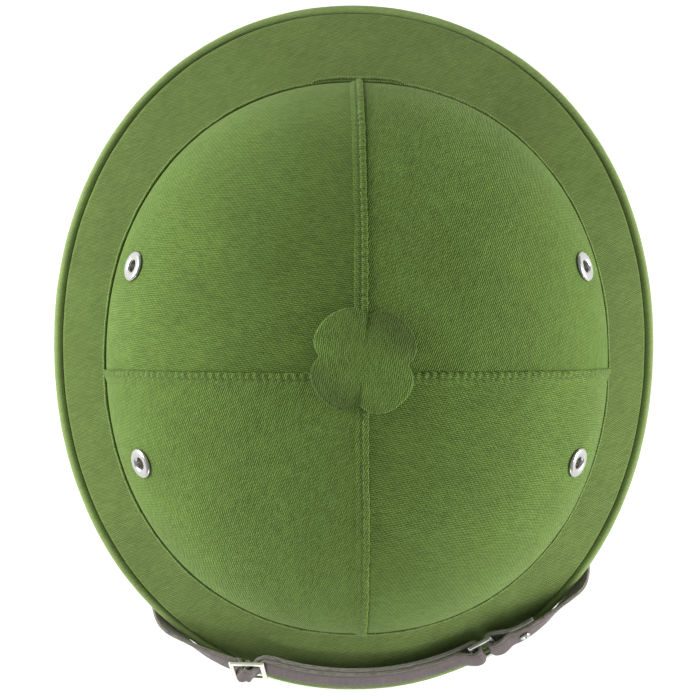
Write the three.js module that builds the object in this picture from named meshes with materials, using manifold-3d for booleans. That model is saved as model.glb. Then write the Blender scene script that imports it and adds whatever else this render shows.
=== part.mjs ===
// A cloth-covered sun helmet with its chin strap laid over the front of the brim.
// Lengths are millimetres. +Z is up, -Y is the front and +X the wearer's left.
// The helmet lies on its rim: z = 0 is the surface it rests on, below the middle of the brim.
// The pressed shell is one oval skin with a dome, a short upright wall and a brim.
// Every covering piece is a further skin at a named distance outside it.

import * as THREE from 'three';
import { mergeVertices } from 'three/addons/utils/BufferGeometryUtils.js';
import Module from 'manifold-3d';

// Brim, measured to the outside of the rolled rim
const BRIM_WIDTH = 264;
const BRIM_LENGTH = 305;
const BRIM_WIDEST_BACK = 2;
const BRIM_SQUARENESS = 2.08;
const BRIM_ROOT_HEIGHT = 27;
const BRIM_SWELL = 0.4;
const RIM_BEAD = 4.2;
const SIDE_RISE = 14;
const RESTING_SHARE = 0.25;

// Crown, measured to the outside of its cloth
const CROWN_WIDTH = 213;
const CROWN_LENGTH = 234;
const CROWN_FORWARD = 3.7;
const CROWN_SQUARENESS = 2.15;
const DOME_SQUARENESS = 2.1;
const DOME_RISE = 72;
const BAND_TOP_HEIGHT = 51;
const WALL_FLARE = 1;

// Walls and clearances
const SHELL_WALL = 3;
const CLOTH = 1.2;
const GAP = 0.3;
const ROUND_GAP = 1.5 * GAP;

// Folded top edge of the hatband: full thickness between two shares of its depth below the top
const LIP_DEPTH = 3;
const LIP_THICKNESS = 2.2;
const LIP_FULL_FROM = 0.2;
const LIP_FULL_TO = 0.6;
const BAND_TAB_WIDTH = 33;

// Covered button and its post
const BUTTON_LOBE_RADIUS = 22.6;
const BUTTON_NOTCH_RADIUS = 17.9;
const BUTTON_NOTCH_SPREAD = 13.5;
const BUTTON_TURN = -5.7;
const BUTTON_THICKNESS = 2.4;
const BUTTON_CROWNING = 2.2;
const BUTTON_LOBE_DROOP = 2.6;
const BUTTON_DROOP_POWER = 4;
const BUTTON_CLEARANCE = 4.2;
const POST_RADIUS = 4;
const POST_COLLAR_RADIUS = 8;
const POST_COLLAR_THICKNESS = 1.6;
const POST_COLLAR_CROWNING = 1;

// Vent eyelets, placed as shares of the crown's half width and half length
const EYELET_FLANGE_RADIUS = 6.3;
const EYELET_BARREL_RADIUS = 3.4;
const EYELET_BORE_RADIUS = 2.6;
const EYELET_FLANGE_HEIGHT = 1.1;

// Rolled section of an eyelet's flange, as shares of its width out from the bore and of its height
const FLANGE_ROLL = [
  { width: 1.0, height: 0.0 },
  { width: 0.9, height: 0.6 },
  { width: 0.5, height: 1.0 },
  { width: 0.1, height: 0.7 },
  { width: 0.0, height: 0.0 },
];
const EYELETS = [
  { name: 'eyelet_back_right', across: -0.876, back: 0.328 },
  { name: 'eyelet_back_left', across: 0.876, back: 0.328 },
  { name: 'eyelet_front_right', across: -0.846, back: -0.367 },
  { name: 'eyelet_front_left', across: 0.846, back: -0.367 },
];

// Chin strap. Places along it are distances round the rim from the front, positive towards +X.
const STRAP_WIDTH = 13;
const STRAP_THICKNESS = 1.5;
const STRAP_STAND = 6.2;
const RETURN_RAISE = 0.8;
const SLIDER_PLACE = -48;
const LINK_PLACE = 62;
const STUD_PLACE = 80;
const SHORT_RETURN = 20;
const ANCHOR_HEIGHT = 36;
const ANCHOR_TURN = 1;
const ANCHOR_CLIMB = 0.55;

// How the strap stands over the brim and crosses the rim. share runs from where it leaves the top
// of the brim to where it lies flat below the rim. lean is in degrees from upright, set_out is a
// share of the wrap distance and lift a share of its standing height.
const CROSSING = [
  { share: 0.0, lean: 30, set_out: 0.75, lift: 1.0 },
  { share: 0.2, lean: 28, set_out: 1.5, lift: 0.7 },
  { share: 0.4, lean: 22, set_out: 1.5, lift: 0.5 },
  { share: 0.55, lean: 10, set_out: 1.3, lift: 0.28 },
  { share: 0.7, lean: -8, set_out: 1.15, lift: 0.07 },
  { share: 0.85, lean: -50, set_out: 1.28, lift: -0.01 },
  { share: 1.0, lean: -80, set_out: 1.4, lift: -0.4 },
];
const RIGHT_CROSSING = { leaves: 0.25, vanishes: 0.445 };
const LEFT_CROSSING = { leaves: 0.31, vanishes: 0.55 };

// The strap's hidden ends bend off their straight directions by this share
const HIDDEN_BEND = 0.1;

// Strap hardware
const SLIDER_LENGTH = 15.5;
const SLIDER_BAR = 2;
const SLIDER_THICKNESS = 1.5;
const LINK_LENGTH = 11.5;
const LINK_WIRE = 1.8;
const LINK_SET_OUT = 1.6;
const EDGE_ROOM = 1;
const STUD_HEAD_RADIUS = 2.5;
const STUD_HEAD_HEIGHT = 1.4;
const STUD_SHANK_RADIUS = 1.1;
const ANCHOR_HEAD_RADIUS = 4;
const ANCHOR_HEAD_HEIGHT = 1.2;
const ANCHOR_SHANK_RADIUS = 1.6;

// A rivet head's upright edge as a share of its height, and its flat top as a share of its radius
const HEAD_EDGE = 0.4;
const HEAD_TOP = 0.6;

// Fineness of the faceted skins
const TURNS = 48;
const DOME_STEPS = 9;
const BRIM_STEPS = 3;
const ROUND_SIDES = 12;
const BEAD_SIDES = 8;

const QUARTER = Math.PI / 2;
const UP = new THREE.Vector3(0, 0, 1);
const DEGREE = Math.PI / 180;

const COVER_OUT = GAP + CLOTH;
const BEAD_RADIUS = RIM_BEAD / 2;
const BEAD_CORNER = BEAD_RADIUS / Math.cos(Math.PI / BEAD_SIDES);

const BRIM = {
  half: BRIM_WIDTH / 2,
  front: BRIM_LENGTH / 2 + BRIM_WIDEST_BACK,
  back: BRIM_LENGTH / 2 - BRIM_WIDEST_BACK,
  middle: BRIM_WIDEST_BACK,
  squareness: BRIM_SQUARENESS,
};
const CROWN = {
  half: CROWN_WIDTH / 2 - COVER_OUT,
  front: CROWN_LENGTH / 2 - COVER_OUT,
  back: CROWN_LENGTH / 2 - COVER_OUT,
  middle: -CROWN_FORWARD,
  squareness: CROWN_SQUARENESS,
};

function material(color, roughness, metalness) {
  return new THREE.MeshStandardMaterial({ color, roughness, metalness });
}

const CROWN_CLOTH = material(0x5a7a3a, 0.85, 0);
const BRIM_CLOTH = material(0x62803f, 0.85, 0);
const SHELL_FIBRE = material(0xb9a683, 0.9, 0);
const STRAP_LEATHER = material(0x6e625d, 0.5, 0);
const BRIGHT_METAL = material(0xc8c4bc, 0.3, 1);

// Places on the ovals

function signedPower(value, power) {
  return Math.sign(value) * Math.abs(value) ** power;
}

function ovalPoint(oval, turn) {
  const across = signedPower(Math.cos(turn), 2 / oval.squareness);
  const along = signedPower(Math.sin(turn), 2 / oval.squareness);
  const reach = along > 0 ? oval.back : oval.front;
  return new THREE.Vector3(oval.half * across, oval.middle + reach * along, 0);
}

function ovalOutward(oval, turn) {
  const across = signedPower(Math.cos(turn), 2 / oval.squareness);
  const along = signedPower(Math.sin(turn), 2 / oval.squareness);
  const reach = along > 0 ? oval.back : oval.front;
  const steep = oval.squareness - 1;
  const x = signedPower(across, steep) / oval.half;
  const y = signedPower(along, steep) / reach;
  return new THREE.Vector3(x, y, 0).normalize();
}

function smooth(share) {
  const held = Math.min(Math.max(share, 0), 1);
  return held * held * (3 - 2 * held);
}

// The rim is level at the front and back, where the helmet rests, and rises at the sides
function rimHeight(turn) {
  const sideways = Math.abs(ovalPoint(BRIM, turn).x) / BRIM.half;
  return SIDE_RISE * smooth((sideways - RESTING_SHARE) / (1 - RESTING_SHARE));
}

function beadCentre(turn) {
  const centre = ovalPoint(BRIM, turn);
  centre.addScaledVector(ovalOutward(BRIM, turn), -BEAD_RADIUS);
  centre.z = rimHeight(turn) + BEAD_RADIUS;
  return centre;
}

// Height of the shell's dome above its base line at a share of the way out to the wall
function domeHeight(share) {
  return DOME_RISE * (1 - share ** DOME_SQUARENESS) ** (1 / DOME_SQUARENESS);
}

// Points of the shell's outer face on one side of the helmet, from the post's hole out to the rim,
// each with the level direction in which it faces.
function meridian(turn) {
  const wall = ovalPoint(CROWN, turn);
  const facing = ovalOutward(CROWN, turn);
  const centre = new THREE.Vector3(0, CROWN.middle, 0);
  const stations = [];
  const holeShare = (POST_RADIUS + ROUND_GAP) / CROWN.half;
  const shares = [holeShare];
  for (let step = 1; step <= DOME_STEPS; step += 1) {
    shares.push(Math.sin((QUARTER * step) / DOME_STEPS) ** (2 / DOME_SQUARENESS));
  }
  for (const share of shares) {
    const at = centre.clone().lerp(wall, share);
    at.z = BAND_TOP_HEIGHT + domeHeight(Math.min(share, 1));
    stations.push({ at, facing });
  }
  const root = wall.clone().addScaledVector(facing, WALL_FLARE);
  root.z = BRIM_ROOT_HEIGHT;
  stations.push({ at: root, facing });

  const bead = beadCentre(turn);
  const slope = bead.clone().sub(root).normalize();
  const edge = bead.clone().addScaledVector(slope, -(BEAD_CORNER + ROUND_GAP));
  const rimFacing = ovalOutward(BRIM, turn);
  for (let step = 1; step <= BRIM_STEPS; step += 1) {
    const share = step / BRIM_STEPS;
    const at = root.clone().lerp(edge, share);
    at.z += 4 * BRIM_SWELL * share * (1 - share);
    stations.push({ at, facing: facing.clone().lerp(rimFacing, share).normalize() });
  }
  return stations;
}

const WALL_TOP = DOME_STEPS;
const WALL_FOOT = DOME_STEPS + 1;
const BRIM_EDGE = DOME_STEPS + 1 + BRIM_STEPS;

// The side-on direction at right angles to a stretch of the profile, as level and upright shares
function stretchNormal(from, to) {
  const level = Math.hypot(to.at.x - from.at.x, to.at.y - from.at.y);
  const drop = from.at.z - to.at.z;
  const length = Math.hypot(level, drop);
  return { level: drop / length, upright: level / length };
}

// Points at a distance outside the shell's outer face, or inside it where the distance is negative
function skin(turn, distance) {
  const stations = meridian(turn);
  return stations.map((station, index) => {
    const before = stretchNormal(stations[Math.max(index - 1, 0)], stations[Math.max(index, 1)]);
    const last = stations.length - 1;
    const after = stretchNormal(stations[Math.min(index, last - 1)], stations[Math.min(index + 1, last)]);
    const meeting = 1 + before.level * after.level + before.upright * after.upright;
    const point = station.at.clone();
    point.addScaledVector(station.facing, (distance * (before.level + after.level)) / meeting);
    point.z += (distance * (before.upright + after.upright)) / meeting;
    return point;
  });
}

// Closed meshes

function signedVolume(points, faces) {
  let total = 0;
  for (const [a, b, c] of faces) {
    total += points[a].dot(points[b].clone().cross(points[c]));
  }
  return total;
}

function closedMesh(points, faces) {
  const outward = signedVolume(points, faces) > 0;
  const geometry = new THREE.BufferGeometry();
  const places = points.flatMap((point) => [point.x, point.y, point.z]);
  const order = faces.flatMap(([a, b, c]) => (outward ? [a, b, c] : [a, c, b]));
  geometry.setAttribute('position', new THREE.Float32BufferAttribute(places, 3));
  geometry.setIndex(order);
  return geometry;
}

// Joins equal loops of points into one body. A body that isn't a ring is closed by an end face at
// each end, made of the strips between the loop's first half and its second half.
function loft(loops, ring) {
  const size = loops[0].length;
  const points = loops.flat();
  const faces = [];
  const last = ring ? loops.length : loops.length - 1;
  for (let row = 0; row < last; row += 1) {
    const next = (row + 1) % loops.length;
    for (let column = 0; column < size; column += 1) {
      const beside = (column + 1) % size;
      const [a, b] = [row * size + column, row * size + beside];
      const [c, d] = [next * size + beside, next * size + column];
      if (points[a].distanceTo(points[c]) <= points[b].distanceTo(points[d])) {
        faces.push([a, b, c], [a, c, d]);
      } else {
        faces.push([a, b, d], [b, c, d]);
      }
    }
  }
  if (!ring) {
    const end = (loops.length - 1) * size;
    for (let column = 0; column < size / 2 - 1; column += 1) {
      const across = size - 1 - column;
      faces.push([column, across, across - 1], [column, across - 1, column + 1]);
      faces.push([end + column, end + across - 1, end + across]);
      faces.push([end + column, end + column + 1, end + across - 1]);
    }
  }
  return closedMesh(points, faces);
}

function wallLoop(outer, inner) {
  return [...outer, ...inner.slice().reverse()];
}

function allTurns() {
  return Array.from({ length: TURNS }, (unused, index) => (index * 2 * Math.PI) / TURNS);
}

// A turned body: profile rows are [radius, height], and the last joins the first
function turned(profile) {
  const corners = [...profile, profile[0]].map(([radius, height]) => new THREE.Vector2(radius, height));
  const lathe = new THREE.LatheGeometry(corners, ROUND_SIDES);
  lathe.rotateX(QUARTER);
  return merged(lathe);
}

// A turned geometry's two ends of its profile on the axis fold into single points when merged
function merged(geometry) {
  geometry.deleteAttribute('normal');
  geometry.deleteAttribute('uv');
  const whole = mergeVertices(geometry, 1e-4);
  const place = whole.getAttribute('position');
  const points = [];
  for (let index = 0; index < place.count; index += 1) {
    points.push(new THREE.Vector3().fromBufferAttribute(place, index));
  }
  const faces = [];
  const order = whole.getIndex().array;
  for (let index = 0; index < order.length; index += 3) {
    const face = [order[index], order[index + 1], order[index + 2]];
    if (new Set(face).size === 3) faces.push(face);
  }
  return closedMesh(points, faces);
}

// Cutting holes

const wasm = await Module();
wasm.setup();

function toSolid(geometry) {
  const mesh = new wasm.Mesh({
    numProp: 3,
    vertProperties: new Float32Array(geometry.getAttribute('position').array),
    triVerts: new Uint32Array(geometry.getIndex().array),
  });
  return new wasm.Manifold(mesh);
}

function cut(geometry, cutters) {
  let solid = toSolid(geometry);
  for (const cutter of cutters) {
    solid = solid.subtract(toSolid(cutter));
  }
  const mesh = solid.getMesh();
  const result = new THREE.BufferGeometry();
  result.setAttribute('position', new THREE.Float32BufferAttribute(mesh.vertProperties, 3));
  result.setIndex(Array.from(mesh.triVerts));
  return result;
}

// A round drill along the given frame's own axis, from one height to another
function drill(radius, from, to, frame) {
  const bit = turned([[0, from], [radius, from], [radius, to], [0, to]]);
  return bit.applyMatrix4(frame);
}

const helmet = new THREE.Group();

function add(name, geometry, finish, frame) {
  const mesh = new THREE.Mesh(geometry, finish);
  mesh.name = name;
  if (frame) mesh.applyMatrix4(frame);
  helmet.add(mesh);
}

// A frame whose own Z looks along a direction, with its own Y as near to upright as can be
function facingFrame(place, direction) {
  const forward = direction.clone().normalize();
  const side = UP.clone().cross(forward).normalize();
  const top = forward.clone().cross(side);
  return new THREE.Matrix4().makeBasis(side, top, forward).setPosition(place);
}

// Vent eyelets

// Place on the dome's outer face, and the direction in which the dome faces there
function domePlace(across, back) {
  const reach = (x, y) => {
    const share = Math.abs(x) ** CROWN.squareness + Math.abs(y) ** CROWN.squareness;
    return Math.min(share ** (1 / CROWN.squareness), 1);
  };
  const place = (x, y) => new THREE.Vector3(
    x * CROWN.half,
    CROWN.middle + y * CROWN.back,
    BAND_TOP_HEIGHT + domeHeight(reach(x, y)),
  );
  const step = 0.001;
  const level = place(across + step, back).sub(place(across - step, back));
  const forward = place(across, back + step).sub(place(across, back - step));
  return { at: place(across, back), facing: level.cross(forward).normalize() };
}

// An eyelet's axis points out of the dome, and its height 0 is the shell's outer face
const eyeletFrames = EYELETS.map(({ name, across, back }) => {
  const { at, facing } = domePlace(across, back);
  return { name, frame: facingFrame(at, facing) };
});

function eyelet() {
  const seat = COVER_OUT + GAP;
  const inside = -SHELL_WALL - GAP;
  const flange = FLANGE_ROLL.map(({ width, height }) => [
    EYELET_BORE_RADIUS + (EYELET_FLANGE_RADIUS - EYELET_BORE_RADIUS) * width,
    seat + EYELET_FLANGE_HEIGHT * height,
  ]);
  return turned([
    [EYELET_BORE_RADIUS, inside],
    [EYELET_BARREL_RADIUS, inside],
    [EYELET_BARREL_RADIUS, seat],
    ...flange,
  ]);
}

function ventHoles() {
  const reach = 4 * SHELL_WALL;
  return eyeletFrames.map(({ frame }) => drill(EYELET_BARREL_RADIUS + GAP, -reach, reach, frame));
}

for (const { name, frame } of eyeletFrames) {
  add(name, eyelet(), BRIGHT_METAL, frame);
}

// Chin strap route

const RIM_SAMPLES = 180;

// Distance round the rim from the front to each of many small turns towards +X
function rimDistances() {
  const table = [{ distance: 0, turn: -QUARTER }];
  let previous = beadCentre(-QUARTER);
  for (let sample = 1; sample <= RIM_SAMPLES; sample += 1) {
    const turn = -QUARTER + (QUARTER * sample) / RIM_SAMPLES;
    const place = beadCentre(turn);
    const distance = table[sample - 1].distance + place.distanceTo(previous);
    table.push({ distance, turn });
    previous = place;
  }
  return table;
}

const RIM_TABLE = rimDistances();
const RIM_QUARTER = RIM_TABLE[RIM_SAMPLES].distance;

function turnAt(distance) {
  const sought = Math.abs(distance);
  const next = Math.max(RIM_TABLE.findIndex((row) => row.distance > sought), 1);
  const low = RIM_TABLE[next - 1];
  const high = RIM_TABLE[next];
  const share = (sought - low.distance) / (high.distance - low.distance);
  const turn = low.turn + share * (high.turn - low.turn);
  return distance < 0 ? -Math.PI - turn : turn;
}

// Value of one column of a table, eased from row to row
function readTable(table, column, share) {
  const next = Math.max(table.findIndex((row) => row.share >= share), 1);
  const low = table[next - 1];
  const high = table[next];
  const between = Math.min(Math.max((share - low.share) / (high.share - low.share), 0), 1);
  return low[column] + (high[column] - low[column]) * between;
}

const WRAP = BEAD_CORNER + 2 * GAP + STRAP_THICKNESS / 2;
const STANDING_LIFT = STRAP_STAND + STRAP_WIDTH / 2;

// Centre of the strap, its width direction and the direction that its outer face looks in, where it
// lies at a distance round the rim. out and raise move one layer against the other.
function strapAt(distance, out = 0, raise = 0) {
  const turn = turnAt(distance);
  const crossing = distance < 0 ? RIGHT_CROSSING : LEFT_CROSSING;
  const along = Math.abs(distance) / RIM_QUARTER;
  const share = (along - crossing.leaves) / (crossing.vanishes - crossing.leaves);
  const lean = readTable(CROSSING, 'lean', share) * DEGREE;
  const setOut = WRAP * readTable(CROSSING, 'set_out', share);
  const lift = STANDING_LIFT * readTable(CROSSING, 'lift', share);
  const level = ovalOutward(BRIM, turn);
  const facing = level.clone().multiplyScalar(Math.cos(lean)).addScaledVector(UP, Math.sin(lean));
  const across = level.clone().multiplyScalar(-Math.sin(lean)).addScaledVector(UP, Math.cos(lean));
  const centre = beadCentre(turn);
  centre.addScaledVector(facing, setOut + out).addScaledVector(across, lift + raise);
  return { centre, across, facing };
}

// The side of the shell's wall where a strap end is riveted
function anchorAt(side) {
  const turn = side > 0 ? -ANCHOR_TURN * DEGREE : (ANCHOR_TURN - 180) * DEGREE;
  const level = ovalOutward(CROWN, turn);
  const wall = ovalPoint(CROWN, turn);
  wall.z = ANCHOR_HEIGHT;
  return { wall, level };
}

const ANCHOR_SET_IN = SHELL_WALL + 2 * GAP + STRAP_THICKNESS / 2;
const ANCHOR_END = STRAP_WIDTH / 2;
const HIDDEN_STEPS = 9;

// The hidden stretch below the brim: inward from the rim, then up along the wall to its rivet. The
// strap turns over as it goes, so that the edge that was the upper one ends lowest.
function hiddenStretch(side) {
  const crossing = side < 0 ? RIGHT_CROSSING : LEFT_CROSSING;
  const place = side * crossing.vanishes * RIM_QUARTER;
  const start = strapAt(place);
  const { wall, level } = anchorAt(side);
  const rivetPlace = wall.clone().addScaledVector(level, -ANCHOR_SET_IN);
  const backward = new THREE.Vector3(-level.y * side, level.x * side, 0);
  const climb = backward.clone().addScaledVector(UP, ANCHOR_CLIMB).normalize();
  const end = rivetPlace.clone().addScaledVector(climb, -ANCHOR_END);
  const out = ovalOutward(BRIM, turnAt(place));
  const onward = new THREE.Vector3(-out.y * side, out.x * side, 0);
  const leaving = onward.clone().sub(out).addScaledVector(UP, HIDDEN_BEND).normalize();
  const arriving = climb.clone().addScaledVector(level, HIDDEN_BEND).normalize();
  const reach = start.centre.distanceTo(end) / 3;
  const curve = new THREE.CubicBezierCurve3(
    start.centre,
    start.centre.clone().addScaledVector(leaving, reach),
    end.clone().addScaledVector(arriving, -reach),
    end,
  );
  const rows = [];
  const down = UP.clone().negate();
  for (let step = 1; step <= HIDDEN_STEPS; step += 1) {
    const share = step / HIDDEN_STEPS;
    const across = start.across.clone().lerp(down, smooth(share)).normalize();
    rows.push({ centre: curve.getPoint(share), across });
  }
  for (const beyond of [0, ANCHOR_END]) {
    rows.push({ centre: rivetPlace.clone().addScaledVector(climb, beyond), across: down });
  }
  return rows;
}

// A flat strap through rows of centres and width directions
function strapBody(rows) {
  const loops = rows.map((row, index) => {
    const before = rows[Math.max(index - 1, 0)].centre;
    const after = rows[Math.min(index + 1, rows.length - 1)].centre;
    const along = after.clone().sub(before).normalize();
    const across = row.across.clone().addScaledVector(along, -row.across.dot(along)).normalize();
    const thick = along.clone().cross(across).multiplyScalar(STRAP_THICKNESS / 2);
    const wide = across.multiplyScalar(STRAP_WIDTH / 2);
    const corner = (w, t) => row.centre.clone().addScaledVector(wide, w).addScaledVector(thick, t);
    return [corner(1, 1), corner(-1, 1), corner(-1, -1), corner(1, -1)];
  });
  return loft(loops, false);
}

const LAYER_STEP = STRAP_THICKNESS + GAP;
const LOOP_RADIUS = LINK_WIRE * Math.SQRT1_2 + 3 * GAP + STRAP_THICKNESS / 2;
const LINK_BAR_OFFSET = (LINK_LENGTH - LINK_WIRE) / 2;
const LOOP_STEPS = 8;
const MIDDLE_LAYER = -LAYER_STEP / 2;
const LINK_MIDDLE = MIDDLE_LAYER + LINK_SET_OUT;

// The layers part over this length before a bar, with rows at these shares of it
const OPENING_LENGTH = 9;
const OPENING_SHARES = [1, 0.6, 0.3];

function openingPlaces(bar, side) {
  return OPENING_SHARES.map((share) => bar + side * share * OPENING_LENGTH);
}

// Both layers of a strap that goes round a bar of the link, opening out towards the bar.
// side is where the strap comes from as seen from its bar.
function loopRows(side, from, to) {
  const bar = LINK_PLACE + side * LINK_BAR_OFFSET;
  const rows = [];
  const layer = (place, way) => {
    const near = 1 - smooth(Math.abs(place - bar) / OPENING_LENGTH);
    const spread = LAYER_STEP / 2 + near * (LOOP_RADIUS - LAYER_STEP / 2);
    const raise = way > 0 ? 0 : RETURN_RAISE * (1 - near);
    return strapAt(place, MIDDLE_LAYER + near * LINK_SET_OUT + way * spread, raise);
  };
  for (const place of from) rows.push(layer(place, 1));
  for (let step = 0; step <= LOOP_STEPS; step += 1) {
    const angle = (Math.PI * step) / LOOP_STEPS;
    const place = bar - side * LOOP_RADIUS * Math.sin(angle);
    rows.push(strapAt(place, LINK_MIDDLE + LOOP_RADIUS * Math.cos(angle), 0));
  }
  for (const place of to) rows.push(layer(place, -1));
  return rows;
}

function spaced(from, to, pitch) {
  const count = Math.max(Math.round(Math.abs(to - from) / pitch), 1);
  return Array.from({ length: count }, (unused, index) => from + ((to - from) * index) / count);
}

// How the strap rides over the slider's middle bar and how its sewn end comes in below the bar.
// share runs from the bar to the slider's end.
const OVER_BAR = SLIDER_THICKNESS + 2 * ROUND_GAP + STRAP_THICKNESS + GAP;
const SLIDER_BULGE = [
  { share: 0.0, out: 1.0, end: 0.0 },
  { share: 0.23, out: 0.97, end: -0.05 },
  { share: 0.45, out: 0.43, end: -0.8 },
  { share: 0.66, out: 0.0, end: -1.05 },
  { share: 1.0, out: 0.0, end: -1.0 },
];
const BULGE_SHARES = SLIDER_BULGE.map((row) => row.share);
const SEWN_END_SHARE = -0.15;
const PITCH = 6;
const SLIDER_HALF = SLIDER_LENGTH / 2;

// The long strap comes from the wearer's right, rides over the slider's middle bar, goes round the
// link and returns under itself to the slider.
function longStrap() {
  const last = -RIGHT_CROSSING.vanishes * RIM_QUARTER;
  const leaves = -RIGHT_CROSSING.leaves * RIM_QUARTER;
  const hidden = hiddenStretch(-1).reverse();
  const crossing = spaced(last, leaves, PITCH / 2).map((place) => strapAt(place));
  const single = spaced(leaves, SLIDER_PLACE - SLIDER_HALF, PITCH).map((place) => strapAt(place));
  const below = BULGE_SHARES.slice(1).map((share) => -share).reverse();
  const bulge = [...below, ...BULGE_SHARES.slice(0, -1)].map((share) => {
    const out = OVER_BAR * readTable(SLIDER_BULGE, 'out', Math.abs(share));
    return strapAt(SLIDER_PLACE + share * SLIDER_HALF, out);
  });
  const opening = openingPlaces(LINK_PLACE - LINK_BAR_OFFSET, -1);
  const toLink = spaced(SLIDER_PLACE + SLIDER_HALF, opening[0], PITCH);
  const fromLink = spaced(opening[0], SLIDER_PLACE + SLIDER_HALF, PITCH);
  const outer = [...toLink, ...opening];
  const back = [...opening.slice().reverse(), ...fromLink.slice(1)];
  const sewn = [...BULGE_SHARES.slice(1).reverse(), SEWN_END_SHARE].map((share) => {
    const end = readTable(SLIDER_BULGE, 'end', Math.abs(share));
    return strapAt(SLIDER_PLACE + share * SLIDER_HALF, LAYER_STEP * end, -RETURN_RAISE * end);
  });
  const loop = loopRows(-1, outer, back);
  return strapBody([...hidden, ...crossing, ...single, ...bulge, ...loop, ...sewn]);
}

// The short strap comes from the wearer's left, goes round the link and is studded to itself
function shortStrap() {
  const bar = LINK_PLACE + LINK_BAR_OFFSET;
  const vanishes = LEFT_CROSSING.vanishes * RIM_QUARTER;
  const leaves = LEFT_CROSSING.leaves * RIM_QUARTER;
  const opening = openingPlaces(bar, 1);
  const single = Math.max(leaves, opening[0]);
  const hidden = hiddenStretch(1).reverse();
  const crossing = spaced(vanishes, single, PITCH / 2).map((place) => strapAt(place));
  const fromLink = spaced(opening[0], bar + SHORT_RETURN, PITCH / 2);
  const back = [...opening.slice().reverse(), ...fromLink.slice(1), bar + SHORT_RETURN];
  return strapBody([...hidden, ...crossing, ...loopRows(1, opening, back)]);
}

// Frame at a place on the standing strap: own X along it, own Y across it and own Z outward
function strapFrame(place, out) {
  const { centre, across } = strapAt(place, out);
  const along = strapAt(place + 1, out).centre.sub(strapAt(place - 1, out).centre).normalize();
  const facing = along.clone().cross(across).normalize();
  const upward = facing.clone().cross(along);
  return new THREE.Matrix4().makeBasis(along, upward, facing).setPosition(centre);
}

// A box that stands on height 0 of its own frame, moved along its own X
function block(length, height, thickness, along = 0) {
  const box = merged(new THREE.BoxGeometry(length, height, thickness));
  return box.translate(along, 0, thickness / 2);
}

function slider() {
  const height = STRAP_WIDTH + 2 * SLIDER_BAR + 2 * EDGE_ROOM;
  const window = (SLIDER_LENGTH - 3 * SLIDER_BAR) / 2;
  const windows = [-1, 1].map((side) => {
    const along = (side * (window + SLIDER_BAR)) / 2;
    const hole = block(window, height - 2 * SLIDER_BAR, 3 * SLIDER_THICKNESS, along);
    return hole.translate(0, 0, -SLIDER_THICKNESS);
  });
  return cut(block(SLIDER_LENGTH, height, SLIDER_THICKNESS), windows);
}

function link() {
  const height = STRAP_WIDTH + 2 * LINK_WIRE + 2 * EDGE_ROOM;
  const hole = block(LINK_LENGTH - 2 * LINK_WIRE, height - 2 * LINK_WIRE, 3 * LINK_WIRE);
  return cut(block(LINK_LENGTH, height, LINK_WIRE), [hole.translate(0, 0, -LINK_WIRE)]);
}

// Rivets: own Z points to the head, and height 0 is the seat of the head
function rivet(headRadius, headHeight, shankRadius, shankLength) {
  return turned([
    [0, -shankLength],
    [shankRadius, -shankLength],
    [shankRadius, 0],
    [headRadius, 0],
    [headRadius, HEAD_EDGE * headHeight],
    [HEAD_TOP * headRadius, headHeight],
    [0, headHeight],
  ]);
}

const studFrame = strapFrame(STUD_PLACE, STRAP_THICKNESS / 2 + GAP);
const studLength = 2 * STRAP_THICKNESS + 2 * GAP;

function anchorFrame(side) {
  const { wall, level } = anchorAt(side);
  const seat = wall.clone().addScaledVector(level, -(ANCHOR_SET_IN + STRAP_THICKNESS / 2 + GAP));
  return facingFrame(seat, level.clone().negate());
}

const anchorLength = SHELL_WALL + STRAP_THICKNESS + 3 * GAP;

function anchorHole(side) {
  const reach = 2 * anchorLength;
  return drill(ANCHOR_SHANK_RADIUS + GAP, -reach, reach, anchorFrame(side));
}

const studHole = drill(STUD_SHANK_RADIUS + GAP / 2, -2 * studLength, studLength, studFrame);

add('strap_long', cut(longStrap(), [anchorHole(-1)]), STRAP_LEATHER);
add('strap_short', cut(shortStrap(), [anchorHole(1), studHole]), STRAP_LEATHER);
add('slider', slider(), BRIGHT_METAL, strapFrame(SLIDER_PLACE, STRAP_THICKNESS / 2 + ROUND_GAP));
add('link', link(), BRIGHT_METAL, strapFrame(LINK_PLACE, LINK_MIDDLE - LINK_WIRE / 2));
const stud = rivet(STUD_HEAD_RADIUS, STUD_HEAD_HEIGHT, STUD_SHANK_RADIUS, studLength);
add('stud', stud, BRIGHT_METAL, studFrame);
for (const [name, side] of [['strap_rivet_right', -1], ['strap_rivet_left', 1]]) {
  const body = rivet(ANCHOR_HEAD_RADIUS, ANCHOR_HEAD_HEIGHT, ANCHOR_SHANK_RADIUS, anchorLength);
  add(name, body, BRIGHT_METAL, anchorFrame(side));
}

// Shell, crown cloth, brim cloth and rim

function shell() {
  const loops = allTurns().map((turn) => wallLoop(skin(turn, 0), skin(turn, -SHELL_WALL)));
  return cut(loft(loops, true), [...ventHoles(), anchorHole(-1), anchorHole(1)]);
}

// One quarter of the crown cloth, held back from its neighbours by half a gap along each seam
function crownPanel(quarter) {
  const inset = GAP / 2;
  const signs = [[1, 1], [-1, 1], [-1, -1], [1, -1]][quarter];
  const holdBack = (point) => {
    point.x = signs[0] * Math.max(signs[0] * point.x, inset);
    point.y = CROWN.middle + signs[1] * Math.max(signs[1] * (point.y - CROWN.middle), inset);
    return point;
  };
  const loops = [];
  for (let step = 0; step <= TURNS / 4; step += 1) {
    const turn = QUARTER * quarter + (step * 2 * Math.PI) / TURNS;
    const outer = skin(turn, COVER_OUT).slice(0, WALL_TOP + 1).map(holdBack);
    const inner = skin(turn, GAP).slice(0, WALL_TOP + 1).map(holdBack);
    loops.push(wallLoop(outer, inner));
  }
  return cut(loft(loops, false), ventHoles());
}

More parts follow.
